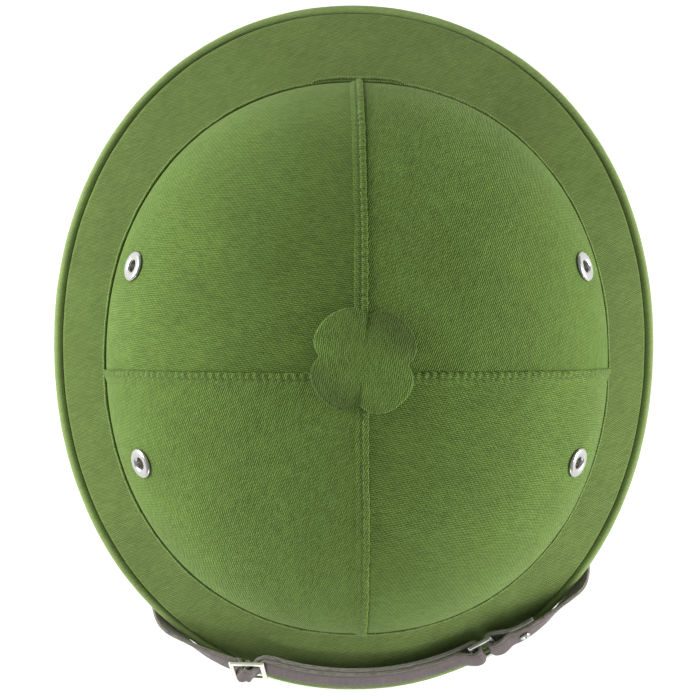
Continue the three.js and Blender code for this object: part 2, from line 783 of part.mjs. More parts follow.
function brimCover() {
  const loops = allTurns().map((turn) => wallLoop(
    skin(turn, COVER_OUT).slice(WALL_FOOT, BRIM_EDGE + 1),
    skin(turn, GAP).slice(WALL_FOOT, BRIM_EDGE + 1),
  ));
  return loft(loops, true);
}

function rimBinding() {
  const loops = allTurns().map((turn) => {
    const centre = beadCentre(turn);
    const out = ovalOutward(BRIM, turn);
    return Array.from({ length: BEAD_SIDES }, (unused, index) => {
      const angle = ((index + 0.5) * 2 * Math.PI) / BEAD_SIDES;
      const point = centre.clone().addScaledVector(out, BEAD_CORNER * Math.cos(angle));
      return point.addScaledVector(UP, BEAD_CORNER * Math.sin(angle));
    });
  });
  return loft(loops, true);
}

// A place outside the upright wall, at a height, following the wall's flare
function wallPlace(turn, distance, height) {
  const share = (BAND_TOP_HEIGHT - height) / (BAND_TOP_HEIGHT - BRIM_ROOT_HEIGHT);
  const place = ovalPoint(CROWN, turn);
  place.addScaledVector(ovalOutward(CROWN, turn), WALL_FLARE * share + distance);
  place.z = height;
  return place;
}

const BAND_TOP = BAND_TOP_HEIGHT - GAP;
const BAND_FOOT = BRIM_ROOT_HEIGHT + CLOTH + 3 * GAP;

function hatband() {
  const loops = allTurns().map((turn) => [
    wallPlace(turn, GAP, BAND_FOOT),
    wallPlace(turn, COVER_OUT, BAND_FOOT),
    wallPlace(turn, COVER_OUT, BAND_TOP - LIP_DEPTH),
    wallPlace(turn, GAP + LIP_THICKNESS, BAND_TOP - LIP_FULL_TO * LIP_DEPTH),
    wallPlace(turn, GAP + LIP_THICKNESS, BAND_TOP - LIP_FULL_FROM * LIP_DEPTH),
    wallPlace(turn, GAP, BAND_TOP),
  ]);
  return loft(loops, true);
}

// The folded end of the band at the back: a tab that lies over the band and its lip
function bandTab() {
  const half = BAND_TAB_WIDTH / 2 / CROWN.half;
  const inner = 2 * GAP + LIP_THICKNESS;
  const loops = [-1, -0.5, 0, 0.5, 1].map((share) => {
    const turn = QUARTER + half * share;
    return [
      wallPlace(turn, inner, BAND_FOOT + 2 * CLOTH),
      wallPlace(turn, inner + CLOTH, BAND_FOOT + 2 * CLOTH),
      wallPlace(turn, inner + CLOTH, BAND_TOP),
      wallPlace(turn, inner, BAND_TOP),
    ];
  });
  return loft(loops, false);
}

add('shell', shell(), SHELL_FIBRE);
const PANELS = [
  'crown_panel_back_left',
  'crown_panel_back_right',
  'crown_panel_front_right',
  'crown_panel_front_left',
];
PANELS.forEach((name, quarter) => add(name, crownPanel(quarter), CROWN_CLOTH));
add('brim_cover', brimCover(), BRIM_CLOTH);
add('rim_binding', rimBinding(), BRIM_CLOTH);
add('hatband', hatband(), BRIM_CLOTH);
add('band_tab', bandTab(), BRIM_CLOTH);

// Covered button on its post

const CROWN_TOP = BAND_TOP_HEIGHT + DOME_RISE;
const COLLAR_FOOT = CROWN_TOP + COVER_OUT + GAP;
const BUTTON_FOOT = COLLAR_FOOT + BUTTON_CLEARANCE;
const atCrownMiddle = new THREE.Matrix4().makeTranslation(0, CROWN.middle, 0);

function post() {
  const neck = POST_RADIUS;
  const lobeShare = neck / BUTTON_LOBE_RADIUS;
  const top = BUTTON_FOOT + BUTTON_CROWNING * (1 - lobeShare ** 2) - GAP;
  const inside = CROWN_TOP - SHELL_WALL - 2 * GAP;
  return turned([
    [0, inside - POST_COLLAR_THICKNESS],
    [POST_COLLAR_RADIUS, inside - POST_COLLAR_THICKNESS],
    [POST_COLLAR_RADIUS, inside],
    [neck, inside],
    [neck, COLLAR_FOOT],
    [POST_COLLAR_RADIUS, COLLAR_FOOT],
    [POST_COLLAR_RADIUS, COLLAR_FOOT + POST_COLLAR_THICKNESS],
    [neck, COLLAR_FOOT + POST_COLLAR_THICKNESS + POST_COLLAR_CROWNING],
    [neck, top],
    [0, top],
  ]);
}

// The outline dips inward at four notches and is round between them
function buttonRadius(angle) {
  const quarters = (angle / DEGREE - BUTTON_TURN) / 90;
  const fromNotch = (quarters - Math.round(quarters)) * 90;
  const dip = Math.exp(-((fromNotch / BUTTON_NOTCH_SPREAD) ** 2));
  return BUTTON_LOBE_RADIUS - (BUTTON_LOBE_RADIUS - BUTTON_NOTCH_RADIUS) * dip;
}

const BUTTON_SIDES = 40;
const BUTTON_RINGS = 3;

function button() {
  const points = [];
  const faces = [];
  const height = (share, radius) => {
    const lobe = radius / BUTTON_LOBE_RADIUS;
    const droop = BUTTON_LOBE_DROOP * (share * lobe) ** BUTTON_DROOP_POWER;
    return BUTTON_CROWNING * (1 - share ** 2) - droop;
  };
  for (const lift of [0, BUTTON_THICKNESS]) {
    points.push(new THREE.Vector3(0, 0, BUTTON_FOOT + lift + height(0, 1)));
    for (let ring = 1; ring <= BUTTON_RINGS; ring += 1) {
      const share = ring / BUTTON_RINGS;
      for (let side = 0; side < BUTTON_SIDES; side += 1) {
        const angle = (side * 2 * Math.PI) / BUTTON_SIDES + BUTTON_TURN * DEGREE;
        const radius = buttonRadius(angle);
        const x = share * radius * Math.cos(angle);
        const y = share * radius * Math.sin(angle);
        points.push(new THREE.Vector3(x, y, BUTTON_FOOT + lift + height(share, radius)));
      }
    }
  }
  const layer = 1 + BUTTON_RINGS * BUTTON_SIDES;
  const spot = (level, ring, side) => {
    const around = side % BUTTON_SIDES;
    return level * layer + 1 + (ring - 1) * BUTTON_SIDES + around;
  };
  for (let side = 0; side < BUTTON_SIDES; side += 1) {
    faces.push([layer, spot(1, 1, side), spot(1, 1, side + 1)]);
    faces.push([0, spot(0, 1, side + 1), spot(0, 1, side)]);
    for (let ring = 1; ring < BUTTON_RINGS; ring += 1) {
      const [a, b] = [spot(1, ring, side), spot(1, ring, side + 1)];
      const [c, d] = [spot(1, ring + 1, side + 1), spot(1, ring + 1, side)];
      faces.push([a, d, c], [a, c, b]);
      faces.push([a - layer, c - layer, d - layer], [a - layer, b - layer, c - layer]);
    }
    const [e, f] = [spot(1, BUTTON_RINGS, side), spot(1, BUTTON_RINGS, side + 1)];
    faces.push([e, e - layer, f - layer], [e, f - layer, f]);
  }
  return closedMesh(points, faces);
}

add('button_post', post(), BRIGHT_METAL, atCrownMiddle);
add('button', button(), CROWN_CLOTH, atCrownMiddle);

export default helmet;
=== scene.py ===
import math

import bmesh
import bpy
import numpy as np
from mathutils import Matrix, Vector

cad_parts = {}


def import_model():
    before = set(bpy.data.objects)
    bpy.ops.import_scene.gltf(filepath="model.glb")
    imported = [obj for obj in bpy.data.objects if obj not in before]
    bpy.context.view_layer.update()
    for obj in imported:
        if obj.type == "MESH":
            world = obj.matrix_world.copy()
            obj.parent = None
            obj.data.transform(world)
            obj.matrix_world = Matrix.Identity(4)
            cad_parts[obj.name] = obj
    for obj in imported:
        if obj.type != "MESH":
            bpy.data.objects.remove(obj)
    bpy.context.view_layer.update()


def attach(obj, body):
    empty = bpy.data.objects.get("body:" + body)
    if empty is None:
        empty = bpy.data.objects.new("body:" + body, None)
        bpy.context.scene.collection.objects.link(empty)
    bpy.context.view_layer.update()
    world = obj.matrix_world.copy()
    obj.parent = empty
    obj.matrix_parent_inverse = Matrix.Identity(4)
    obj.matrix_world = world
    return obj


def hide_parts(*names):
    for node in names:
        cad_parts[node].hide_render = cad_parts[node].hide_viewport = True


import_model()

# A cloth-covered sun helmet that lies on its rim, seen from straight above. Lengths are
# millimetres until a mesh is made. +Z is up, -Y is the front and +X the wearer's left.

MM = 0.001
UP = np.array([0.0, 0.0, 1.0])
QUARTER = math.pi / 2

# Brim and crown, the same driving sizes as the solids
BRIM_WIDTH = 264
BRIM_LENGTH = 305
BRIM_WIDEST_BACK = 2
BRIM_SQUARENESS = 2.08
BRIM_ROOT_HEIGHT = 27
BRIM_SWELL = 0.4
BEAD_RADIUS = 2.1
SIDE_RISE = 14
RESTING_SHARE = 0.25
CROWN_WIDTH = 213
CROWN_LENGTH = 234
CROWN_FORWARD = 3.7
CROWN_SQUARENESS = 2.15
DOME_SQUARENESS = 2.1
DOME_RISE = 72
BAND_TOP_HEIGHT = 51
WALL_FLARE = 1
SHELL_WALL = 3
CLOTH = 1.2
GAP = 0.3
COVER_OUT = GAP + CLOTH

BRIM = {
    "half": BRIM_WIDTH / 2,
    "front": BRIM_LENGTH / 2 + BRIM_WIDEST_BACK,
    "back": BRIM_LENGTH / 2 - BRIM_WIDEST_BACK,
    "middle": BRIM_WIDEST_BACK,
    "squareness": BRIM_SQUARENESS,
}
CROWN = {
    "half": CROWN_WIDTH / 2 - COVER_OUT,
    "front": CROWN_LENGTH / 2 - COVER_OUT,
    "back": CROWN_LENGTH / 2 - COVER_OUT,
    "middle": -CROWN_FORWARD,
    "squareness": CROWN_SQUARENESS,
}


# Places on the ovals, and helpers for paths and tables

def signed_power(value, power):
    return np.sign(value) * np.abs(value) ** power


def oval_reach(oval, ahead):
    return np.where(ahead > 0, oval["back"], oval["front"])


def oval_shares(oval, turn):
    """Shares of the half width and of the reach at a turn round an oval, and that reach."""
    across = signed_power(np.cos(turn), 2 / oval["squareness"])
    along = signed_power(np.sin(turn), 2 / oval["squareness"])
    return across, along, oval_reach(oval, along)


def oval_point(oval, turn):
    across, along, reach = oval_shares(oval, turn)
    return np.stack([oval["half"] * across, oval["middle"] + reach * along, 0 * across], -1)


def oval_outward(oval, turn):
    across, along, reach = oval_shares(oval, turn)
    steep = oval["squareness"] - 1
    level = [signed_power(across, steep) / oval["half"], signed_power(along, steep) / reach, 0 * across]
    return unit(np.stack(level, -1))


def unit(vectors):
    length = np.linalg.norm(vectors, axis=-1, keepdims=True)
    return vectors / np.maximum(length, 1e-12)


def smooth(share):
    held = np.clip(share, 0, 1)
    return held * held * (3 - 2 * held)


def full_circle(count):
    return np.arange(count) * 2 * math.pi / count


def crowded_steps(count, first=0.0):
    """Shares up to 1 that lie closer together towards 1, where the dome is steep."""
    return np.sin(np.linspace(first, QUARTER, count)) ** 0.95


def path_length(points):
    """How far along a path of points each of them lies."""
    steps = np.linalg.norm(np.diff(points, axis=0), axis=1)
    return np.concatenate([[0.0], np.cumsum(steps)])


def along_path(distance, length, points):
    return np.stack([np.interp(distance, length, points[:, axis]) for axis in range(3)], -1)


def named_rows(names, *rows):
    """A table: the names of its columns, then its rows."""
    return [dict(zip(names.split(), row)) for row in rows]


def values_of(rows, name):
    return np.array([row[name] for row in rows], dtype=float)


def rim_height(turn):
    sideways = np.abs(oval_point(BRIM, turn)[..., 0]) / BRIM["half"]
    return SIDE_RISE * smooth((sideways - RESTING_SHARE) / (1 - RESTING_SHARE))


def bead_centre(turn):
    centre = oval_point(BRIM, turn) - oval_outward(BRIM, turn) * BEAD_RADIUS
    centre[..., 2] = rim_height(turn) + BEAD_RADIUS
    return centre


def dome_curve(share):
    return (1 - share ** DOME_SQUARENESS) ** (1 / DOME_SQUARENESS)


def dome_height(share):
    return DOME_RISE * dome_curve(np.clip(share, 0, 1))


def crown_share(x, y):
    ahead = y - CROWN["middle"]
    power = CROWN["squareness"]
    across = np.abs(x / CROWN["half"]) ** power
    along = np.abs(ahead / oval_reach(CROWN, ahead)) ** power
    return (across + along) ** (1 / power)


def turn_of(oval, x, y):
    ahead = y - oval["middle"]
    power = oval["squareness"] / 2
    along = signed_power(ahead / oval_reach(oval, ahead), power)
    return np.arctan2(along, signed_power(x / oval["half"], power))


def wobble(place, seed):
    """A smooth wave of uneven length from -1 to 1, the same on every run."""
    first = np.sin(place * 1.0 + seed * 1.7)
    second = np.sin(place * 2.3 + seed * 4.1 + 0.6)
    third = np.sin(place * 4.9 + seed * 2.9 + 1.9)
    return 0.5 * first + 0.3 * second + 0.2 * third


# Meshes

def linked_object(name, data):
    piece = bpy.data.objects.new(name, data)
    bpy.context.scene.collection.objects.link(piece)
    return piece


def face_outward(mesh, weld=False):
    """Turns a mesh's faces outward. weld first closes up points that lie on each other."""
    body = bmesh.new()
    body.from_mesh(mesh)
    if weld:
        bmesh.ops.remove_doubles(body, verts=body.verts, dist=1e-7)
    bmesh.ops.recalc_face_normals(body, faces=body.faces)
    body.to_mesh(mesh)
    body.free()


def new_object(name, points, faces, weave=None, materials=(), face_materials=None):
    mesh = bpy.data.meshes.new(name)
    mesh.from_pydata((np.asarray(points).reshape(-1, 3) * MM).tolist(), [], faces)
    if weave is not None:
        corner_points = np.zeros(len(mesh.loops), dtype=np.int32)
        mesh.loops.foreach_get("vertex_index", corner_points)
        layer = mesh.uv_layers.new(name="weave")
        layer.data.foreach_set("uv", np.asarray(weave).reshape(-1, 2)[corner_points].ravel())
    for finish in materials:
        mesh.materials.append(finish)
    if face_materials is not None:
        mesh.polygons.foreach_set("material_index", face_materials)
    face_outward(mesh)
    mesh.shade_smooth()
    return linked_object(name, mesh)


def loft_faces(rows, size, ring=False, strip_caps=True):
    """Faces that join closed loops of points, as a ring or with a closed end at each end."""
    row = np.arange(rows if ring else rows - 1)[:, None]
    column = np.arange(size)[None, :]
    next_row = (row + 1) % rows
    next_column = (column + 1) % size
    quads = np.stack([row * size + column, row * size + next_column,
                      next_row * size + next_column, next_row * size + column], -1)
    faces = quads.reshape(-1, 4).tolist()
    if ring:
        return faces
    for first in (0, (rows - 1) * size):
        if not strip_caps:
            faces.append(list(range(first, first + size)))
            continue
        for near in range(first, first + size // 2 - 1):
            far = 2 * first + size - 1 - near
            faces.append([near, near + 1, far - 1, far])
    return faces


def lofted(name, loops, weave=None, materials=(), **options):
    rows, size = loops.shape[:2]
    return new_object(name, loops, loft_faces(rows, size, **options), weave, materials)


def lathe(name, profile, place, sides, finish):
    """A closed profile of [radius, height] pairs turned round the own Z axis of a place."""
    radius, height = np.array(profile, dtype=float).T
    angles = full_circle(sides)[:, None]
    loops = np.stack([radius * np.cos(angles), radius * np.sin(angles), height + 0 * angles], -1)
    piece = lofted(name, loops @ place[:3, :3].T + place[:3, 3], materials=[finish], ring=True)
    face_outward(piece.data, weld=True)
    return piece


def rolled_edge(middle, reach, base, rise, steps, power=1.0):
    """Profile points over a rolled edge, from its outside to its inside."""
    angles = [math.pi * step / steps for step in range(steps + 1)]
    return [[middle + reach * math.cos(angle), base + rise * math.sin(angle) ** power] for angle in angles]


def frame_of(side, top, forward, place):
    whole = np.eye(4)
    whole[:3] = np.stack([side, top, forward, place], -1)
    return whole


def frame_at(place, direction):
    """A frame whose own Z looks along a direction, with its own Y as near to upright as can be."""
    forward = unit(np.asarray(direction, dtype=float))
    side = unit(np.cross(UP, forward))
    return frame_of(side, np.cross(forward, side), forward, place)


def with_modifiers(piece):
    """Replaces a piece's mesh by what its modifiers make of it."""
    graph = bpy.context.evaluated_depsgraph_get()
    made = bpy.data.meshes.new_from_object(piece.evaluated_get(graph))
    piece.modifiers.clear()
    piece.data = made
    return piece


def drilled(piece, drills):
    """Cuts round holes: each drill is a place, a radius and the heights that it runs between."""
    for place, radius, low, high in drills:
        bit = lathe("drill", [[0, low], [radius, low], [radius, high], [0, high]], place, DRILL_SIDES, None)
        cut = piece.modifiers.new("hole", "BOOLEAN")
        cut.operation = "DIFFERENCE"
        cut.solver = "EXACT"
        cut.object = bit
        with_modifiers(piece)
        bpy.data.objects.remove(bit)
    return piece


def joined(piece, others):
    """Adds the meshes of other objects to a piece."""
    body = bmesh.new()
    body.from_mesh(piece.data)
    for other in others:
        body.from_mesh(other.data)
        bpy.data.objects.remove(other)
    body.to_mesh(piece.data)
    body.free()
    return piece


def dress(piece, slot, *nodes):
    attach(piece, "root")
    if nodes:
        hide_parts(*nodes)
    return piece


# Materials

def srgb(red, green, blue):
    """Linear colour of an 8-bit screen colour."""
    shares = [channel / 255 for channel in (red, green, blue)]
    line = [share / 12.92 if share <= 0.04045 else ((share + 0.055) / 1.055) ** 2.4 for share in shares]
    return (*line, 1.0)


class Shader:
    """Builds one material's nodes. A number or colour goes straight on the socket it is for."""

    def __init__(self, name):
        self.material = bpy.data.materials.new(name)
        self.material.use_nodes = True
        self.nodes = self.material.node_tree.nodes
        self.links = self.material.node_tree.links
        self.nodes.clear()
        self.surface = self.node("BsdfPrincipled")
        self.node("OutputMaterial", {"Surface": self.surface.outputs[0]})

    def put(self, node, sockets):
        for key, value in sockets.items():
            if isinstance(value, bpy.types.NodeSocket):
                self.links.new(value, node.inputs[key])
            else:
                node.inputs[key].default_value = value

    def node(self, kind, sockets=None, **settings):
        made = self.nodes.new("ShaderNode" + kind)
        for key, value in settings.items():
            setattr(made, key, value)
        self.put(made, sockets or {})
        return made

    def weave(self):
        return self.node("UVMap", uv_map="weave").outputs[0]

    def own_place(self):
        return self.node("TexCoord").outputs["Object"]

    def parts(self, vector):
        return self.node("SeparateXYZ", {"Vector": vector}).outputs[:2]

    def math(self, operation, first, second=0.0, clamp=False):
        sockets = {0: first, 1: second}
        return self.node("Math", sockets, operation=operation, use_clamp=clamp).outputs[0]

    def add(self, first, second, clamp=False):
        return self.math("ADD", first, second, clamp)

    def times(self, first, second):
        return self.math("MULTIPLY", first, second)

    def mix(self, share, first, second):
        made = self.node("Mix", data_type="RGBA")
        self.put(made, {0: share, 6: first, 7: second})
        return made.outputs[2]

    def spread(self, value, low, high, to_low=0.0, to_high=1.0):
        sockets = {"Value": value, "From Min": low, "From Max": high, "To Min": to_low, "To Max": to_high}
        return self.node("MapRange", sockets, clamp=True).outputs[0]

    def noise(self, place, scale, detail=2.0, roughness=0.5):
        sockets = {"Vector": place, "Scale": scale, "Detail": detail, "Roughness": roughness}
        return self.node("TexNoise", sockets).outputs[0]

    def stretched(self, place, scale, turn=0.0):
        sockets = {"Vector": place, "Scale": scale, "Rotation": (0.0, 0.0, turn)}
        return self.node("Mapping", sockets, vector_type="POINT").outputs[0]

    def streaks(self, place, scale, detail, roughness=0.5, turn=0.0):
        return self.noise(self.stretched(place, scale, turn), 1.0, detail, roughness)

    def bump(self, strength, distance, height):
        sockets = {"Strength": strength, "Distance": distance, "Height": height}
        return self.node("Bump", sockets).outputs[0]

    def finish(self, **sockets):
        self.put(self.surface, {key.replace("_", " "): value for key, value in sockets.items()})
        return self.material


WEAVE_UNIT = 10.0
ROW_PITCH = 0.8 / WEAVE_UNIT
BUTTON_PITCH = 0.72 / WEAVE_UNIT
FLOAT_LENGTH = 2.0 / WEAVE_UNIT
FLOAT_STEP = 0.38


def painted_lobe_shade(shader, weave):
    """Painted shade: darker cloth towards the drooping lobes at the button's two far corners, where they
    slope away from the light.
    """
    across, along = shader.parts(weave)
    ahead = shader.add(along, CROWN_FORWARD / WEAVE_UNIT)
    corner = shader.math("ABSOLUTE", shader.add(across, ahead))
    return shader.spread(corner, 1.1, 2.5, 0.97, 0.6)


def twill(name, valley, ridge, rib_angle, pitch=ROW_PITCH, depth=0.0004, contrast=1.0, lobes=False):
    """Cotton twill: rows of short raised floats, each row stepped along from the last.

    rib_angle is the way that the rows run in the weave map, in degrees.
    """
    shader = Shader(name)
    weave = shader.weave()
    laid = shader.stretched(weave, (1.0, 1.0, 1.0), -math.radians(rib_angle))
    lengthwise, sideways = shader.parts(laid)
    slow = shader.times(shader.noise(weave, 0.9, 1.0), 0.12)
    quick = shader.times(shader.noise(weave, 7.0, 2.0), 0.05)
    rows = shader.math("DIVIDE", shader.add(sideways, shader.add(slow, quick)), pitch)
    row = shader.math("FLOOR", rows)
    arch = shader.math("SINE", shader.times(shader.math("FRACT", rows), math.pi))
    floats = shader.add(shader.math("DIVIDE", lengthwise, FLOAT_LENGTH), shader.times(row, FLOAT_STEP))
    inside = shader.math("FRACT", floats)
    ends = shader.times(inside, shader.math("SUBTRACT", 1.0, inside))
    raised = shader.times(arch, shader.spread(ends, 0.0, 0.16, 0.4, 1.0))
    cell = shader.node("CombineXYZ", {"X": row, "Y": shader.math("FLOOR", floats)}).outputs[0]
    yarn = shader.node("TexWhiteNoise", {"Vector": cell}, noise_dimensions="2D").outputs[0]
    # Painted shade: the colour runs from the ridge colour on the raised floats to the darker valley colour
    # down between them
    weave_shading = shader.times(raised, 0.8 * contrast)
    dyed = shader.times(shader.math("SUBTRACT", yarn, 0.5), 0.2 * contrast)
    worn = shader.times(shader.spread(shader.streaks(laid, (1.6, 14.0, 1.0), 3.0, 0.6), 0.3, 0.7), 0.24)
    furred = shader.times(shader.noise(weave, 42.0, 3.0, 0.7), 0.24)
    tone = shader.add(shader.add(weave_shading, dyed), shader.add(worn, furred), True)
    patches_and_lobe_shade = shader.spread(shader.noise(weave, 0.35, 4.0, 0.6), 0.3, 0.7, 0.88, 1.07)
    # Painted shade on the button's drooping lobes
    if lobes:
        patches_and_lobe_shade = shader.times(patches_and_lobe_shade, painted_lobe_shade(shader, weave))
    colour_and_shade = {"Color": shader.mix(tone, valley, ridge), "Value": patches_and_lobe_shade}
    height = shader.add(shader.times(raised, 0.8), furred)
    return shader.finish(Base_Color=shader.node("HueSaturation", colour_and_shade).outputs[0], Roughness=0.9,
                         Normal=shader.bump(0.8, depth, height), Sheen_Weight=0.15, Sheen_Roughness=0.5,
                         Sheen_Tint=srgb(196, 212, 160), Specular_IOR_Level=0.2)


# Its colours are made dark to paint the shade down in the stitch groove
def thread(name, dark, light):
    shader = Shader(name)
    strands = shader.streaks(shader.own_place(), (2600.0, 2600.0, 2600.0), 2.0, turn=0.6)
    return shader.finish(Base_Color=shader.mix(strands, dark, light), Roughness=0.7,
                         Normal=shader.bump(0.5, 0.0001, strands), Sheen_Weight=0.3)


def leather(name):
    """Smooth brown-grey finished face with fine creases and paler rubbed places."""
    shader = Shader(name)
    place = shader.weave()
    broad = shader.spread(shader.streaks(place, (0.7, 2.2, 1.0), 4.0, 0.6), 0.3, 0.7)
    grain = shader.noise(place, 30.0, 3.0, 0.6)
    cross = shader.streaks(place, (9.0, 0.9, 1.0), 3.0, 0.6)
    colour = shader.mix(broad, srgb(56, 42, 40), srgb(78, 61, 60))
    rubbed = shader.mix(shader.spread(cross, 0.55, 0.75, 0.0, 0.45), colour, srgb(98, 82, 79))
    height = shader.add(shader.times(grain, 0.5), cross)
    return shader.finish(Base_Color=rubbed, Roughness=shader.spread(cross, 0.3, 0.7, 0.38, 0.56),
                         Normal=shader.bump(0.35, 0.0002, height), Specular_IOR_Level=0.5)


def cut_edge(name):
    """Fibrous grey cut edge and back of the strap."""
    shader = Shader(name)
    place = shader.weave()
    fibres = shader.streaks(place, (3.0, 34.0, 1.0), 4.0, 0.7)
    specks = shader.noise(place, 24.0, 4.0, 0.75)
    tone = shader.spread(shader.add(fibres, specks), 0.8, 1.2)
    colour = shader.mix(tone, srgb(52, 50, 42), srgb(164, 160, 146))
    return shader.finish(Base_Color=colour, Roughness=0.95, Normal=shader.bump(0.8, 0.0003, tone),
                         Sheen_Weight=0.2)


def bright_metal(name, tint, low, high):
    """Bare metal with scuffs. low and high are the roughness between which it varies."""
    shader = Shader(name)
    place = shader.own_place()
    scuffs = shader.streaks(place, (900.0, 2400.0, 900.0), 4.0, 0.65, 0.5)
    dents = shader.noise(place, 350.0, 2.0)
    colour = shader.mix(shader.spread(scuffs, 0.45, 0.75, 0.0, 0.5), tint, srgb(176, 170, 160))
    rough = shader.spread(scuffs, 0.3, 0.7, low, high)
    return shader.finish(Base_Color=colour, Metallic=0.75, Roughness=rough,
                         Normal=shader.bump(0.18, 0.0002, dents))


def pressed_fibre(name):
    """Pale pressed plant fibre of the shell, plain and matt."""
    shader = Shader(name)
    place = shader.own_place()
    flecks = shader.streaks(place, (260.0, 900.0, 500.0), 4.0, 0.7, 0.4)
    lumps = shader.noise(place, 70.0, 3.0)
    colour = shader.mix(shader.spread(flecks, 0.3, 0.7), srgb(150, 134, 100), srgb(190, 176, 140))
    bump = shader.bump(0.4, 0.0004, shader.add(flecks, lumps))
    return shader.finish(Base_Color=colour, Roughness=0.9, Normal=bump)


def floor_paper(name):
    shader = Shader(name)
    grain = shader.noise(shader.own_place(), 900.0, 2.0)
    colour = shader.mix(grain, (0.86, 0.86, 0.86, 1.0), (0.90, 0.90, 0.90, 1.0))
    return shader.finish(Base_Color=colour, Roughness=0.9, Emission_Color=colour, Emission_Strength=0.5)


# Valley colours hold painted shade down between the weave's floats; ridge colours are the cloth on top of
# them
CLOTH_VALLEY = srgb(8, 26, 2)
CLOTH_RIDGE = srgb(108, 137, 60)
BRIM_VALLEY = srgb(50, 74, 24)
BRIM_RIDGE = srgb(124, 145, 80)
# Painted light: the rolled rim's colours are a paler copy of the brim cloth's, for the light that falls on
# the bead
RIM_VALLEY = srgb(96, 118, 60)
RIM_RIDGE = srgb(146, 168, 104)

# The way that the ribs run on each crown panel, in degrees from +X towards +Y
PANEL_RIBS = {
    "crown_panel_back_right": -8,
    "crown_panel_back_left": 67,
    "crown_panel_front_right": 68,
    "crown_panel_front_left": -12,
}
PANEL_CLOTH = {node: twill(node + "_cloth", CLOTH_VALLEY, CLOTH_RIDGE, angle)
               for node, angle in PANEL_RIBS.items()}
# The button's cloth has painted shade on its two drooping lobes
BUTTON_CLOTH = twill("button_cloth", CLOTH_VALLEY, CLOTH_RIDGE, 99, pitch=BUTTON_PITCH, lobes=True)
BRIM_CLOTH = twill("brim_cloth", BRIM_VALLEY, BRIM_RIDGE, 28, depth=0.00015, contrast=0.6)
# Paler copy of the brim cloth: painted light on the rim bead
LIT_RIM_CLOTH = twill("rim_cloth", RIM_VALLEY, RIM_RIDGE, 28, depth=0.00015, contrast=0.6)
BAND_CLOTH = twill("band_cloth", BRIM_VALLEY, BRIM_RIDGE, 62)
# Thread darkened with painted shade for the groove it lies in
THREAD_WITH_GROOVE_SHADE = thread("seam_thread", srgb(34, 50, 16), srgb(78, 98, 46))
STRAP_FACE = leather("strap_face")
STRAP_EDGE = cut_edge("strap_edge")
EYELET_METAL = bright_metal("eyelet_metal", srgb(176, 177, 174), 0.14, 0.3)
BUCKLE_METAL = bright_metal("buckle_metal", srgb(244, 240, 228), 0.3, 0.5)
SHELL_FIBRE = pressed_fibre("shell_fibre")


# Crown panels

SEAM_CROSSING = np.array([2.0, -8.5])
CROWN_CENTRE = np.array([0.0, CROWN["middle"], 0.0])

# A seam ends near a turn of the oval, where one plan axis, 0 for X or 1 for Y, is fixed at a length.
# Its lap belongs to a panel and goes into that panel from the fold.
SEAMS = {row["side"]: row for row in named_rows(
    "side turn axis fixed_at panel into",
    ("back", QUARTER, 0, 1.6, "crown_panel_back_right", (-1, 0, 0)),
    ("front", -QUARTER, 0, 3.4, "crown_panel_front_right", (-1, 0, 0)),
    ("right", math.pi, 1, -8.6, "crown_panel_front_right", (0, -1, 0)),
    ("left", 0.0, 1, -8.2, "crown_panel_front_left", (0, -1, 0)),
)}
CROWN_HOLE = 3.0
RAY_STEPS = 90
PANEL_RAYS = 150
ARC_SAMPLES = 400


def seam_end(side):
    """Turn of the crown's oval at which a seam reaches the wall."""
    seam = SEAMS[side]
    turns = seam["turn"] + np.linspace(-0.3, 0.3, 4001)
    misses = np.abs(oval_point(CROWN, turns)[:, seam["axis"]] - seam["fixed_at"])
    return turns[np.argmin(misses)]


def dome_place(x, y):
    return np.stack([x, y, BAND_TOP_HEIGHT + dome_height(crown_share(x, y))], -1)


def dome_facing(x, y):
    """The way that the dome faces at a place, from its slope inward and sideways."""
    step = 0.05
    held = np.minimum(crown_share(x, y), 0.9995) / np.maximum(crown_share(x, y), 1e-9)
    x = x * held
    y = CROWN["middle"] + (y - CROWN["middle"]) * held
    nearer = 1 - step / CROWN["half"]
    here = dome_place(x, y)
    inner = dome_place(x * nearer, CROWN["middle"] + (y - CROWN["middle"]) * nearer)
    wall = oval_point(CROWN, turn_of(CROWN, x, y) + 0.001)
    beside = CROWN_CENTRE + (wall - CROWN_CENTRE) * crown_share(x, y)[..., None]
    beside[..., 2] = here[..., 2]
    return unit(np.cross(here - inner, beside - here))


def arc_stretch():
    """How much longer the way over the dome is than its plan, at shares of the way to the wall."""
    shares = crowded_steps(ARC_SAMPLES)
    level = shares * (CROWN["half"] + CROWN["back"]) / 2
    length = path_length(np.stack([level, dome_height(shares)], -1))
    return shares, np.where(shares > 0, length / np.maximum(level, 1e-6), 1.0)


ARC_SHARES, ARC_STRETCH = arc_stretch()


def dome_weave(points):
    """Weave map of the crown: plan directions, with lengths measured over the dome.

    How far a point is to the wall comes from its plan near the top and from its height near the wall.
    """
    plan_share = crown_share(points[..., 0], points[..., 1])
    risen = np.clip((points[..., 2] - BAND_TOP_HEIGHT) / (DOME_RISE + COVER_OUT), 0, 1)
    near_wall = smooth((plan_share - 0.6) / 0.3)
    share = np.clip(plan_share * (1 - near_wall) + dome_curve(risen) * near_wall, 0, 1)
    stretch = np.interp(share, ARC_SHARES, ARC_STRETCH)
    below = np.clip(BAND_TOP_HEIGHT - points[..., 2], 0, None)
    from_middle = (points - CROWN_CENTRE)[..., :2]
    reach = np.linalg.norm(from_middle, axis=-1)
    return from_middle * ((stretch * reach + below) / np.maximum(reach, 1e-6))[..., None] / WEAVE_UNIT


def cloth_relief(x, y):
    """Slow unevenness of the crown cloth over its shell, in millimetres."""
    return 0.22 * wobble(x * 0.045 + y * 0.02, 1.0) * wobble(y * 0.05 - x * 0.013, 2.0)


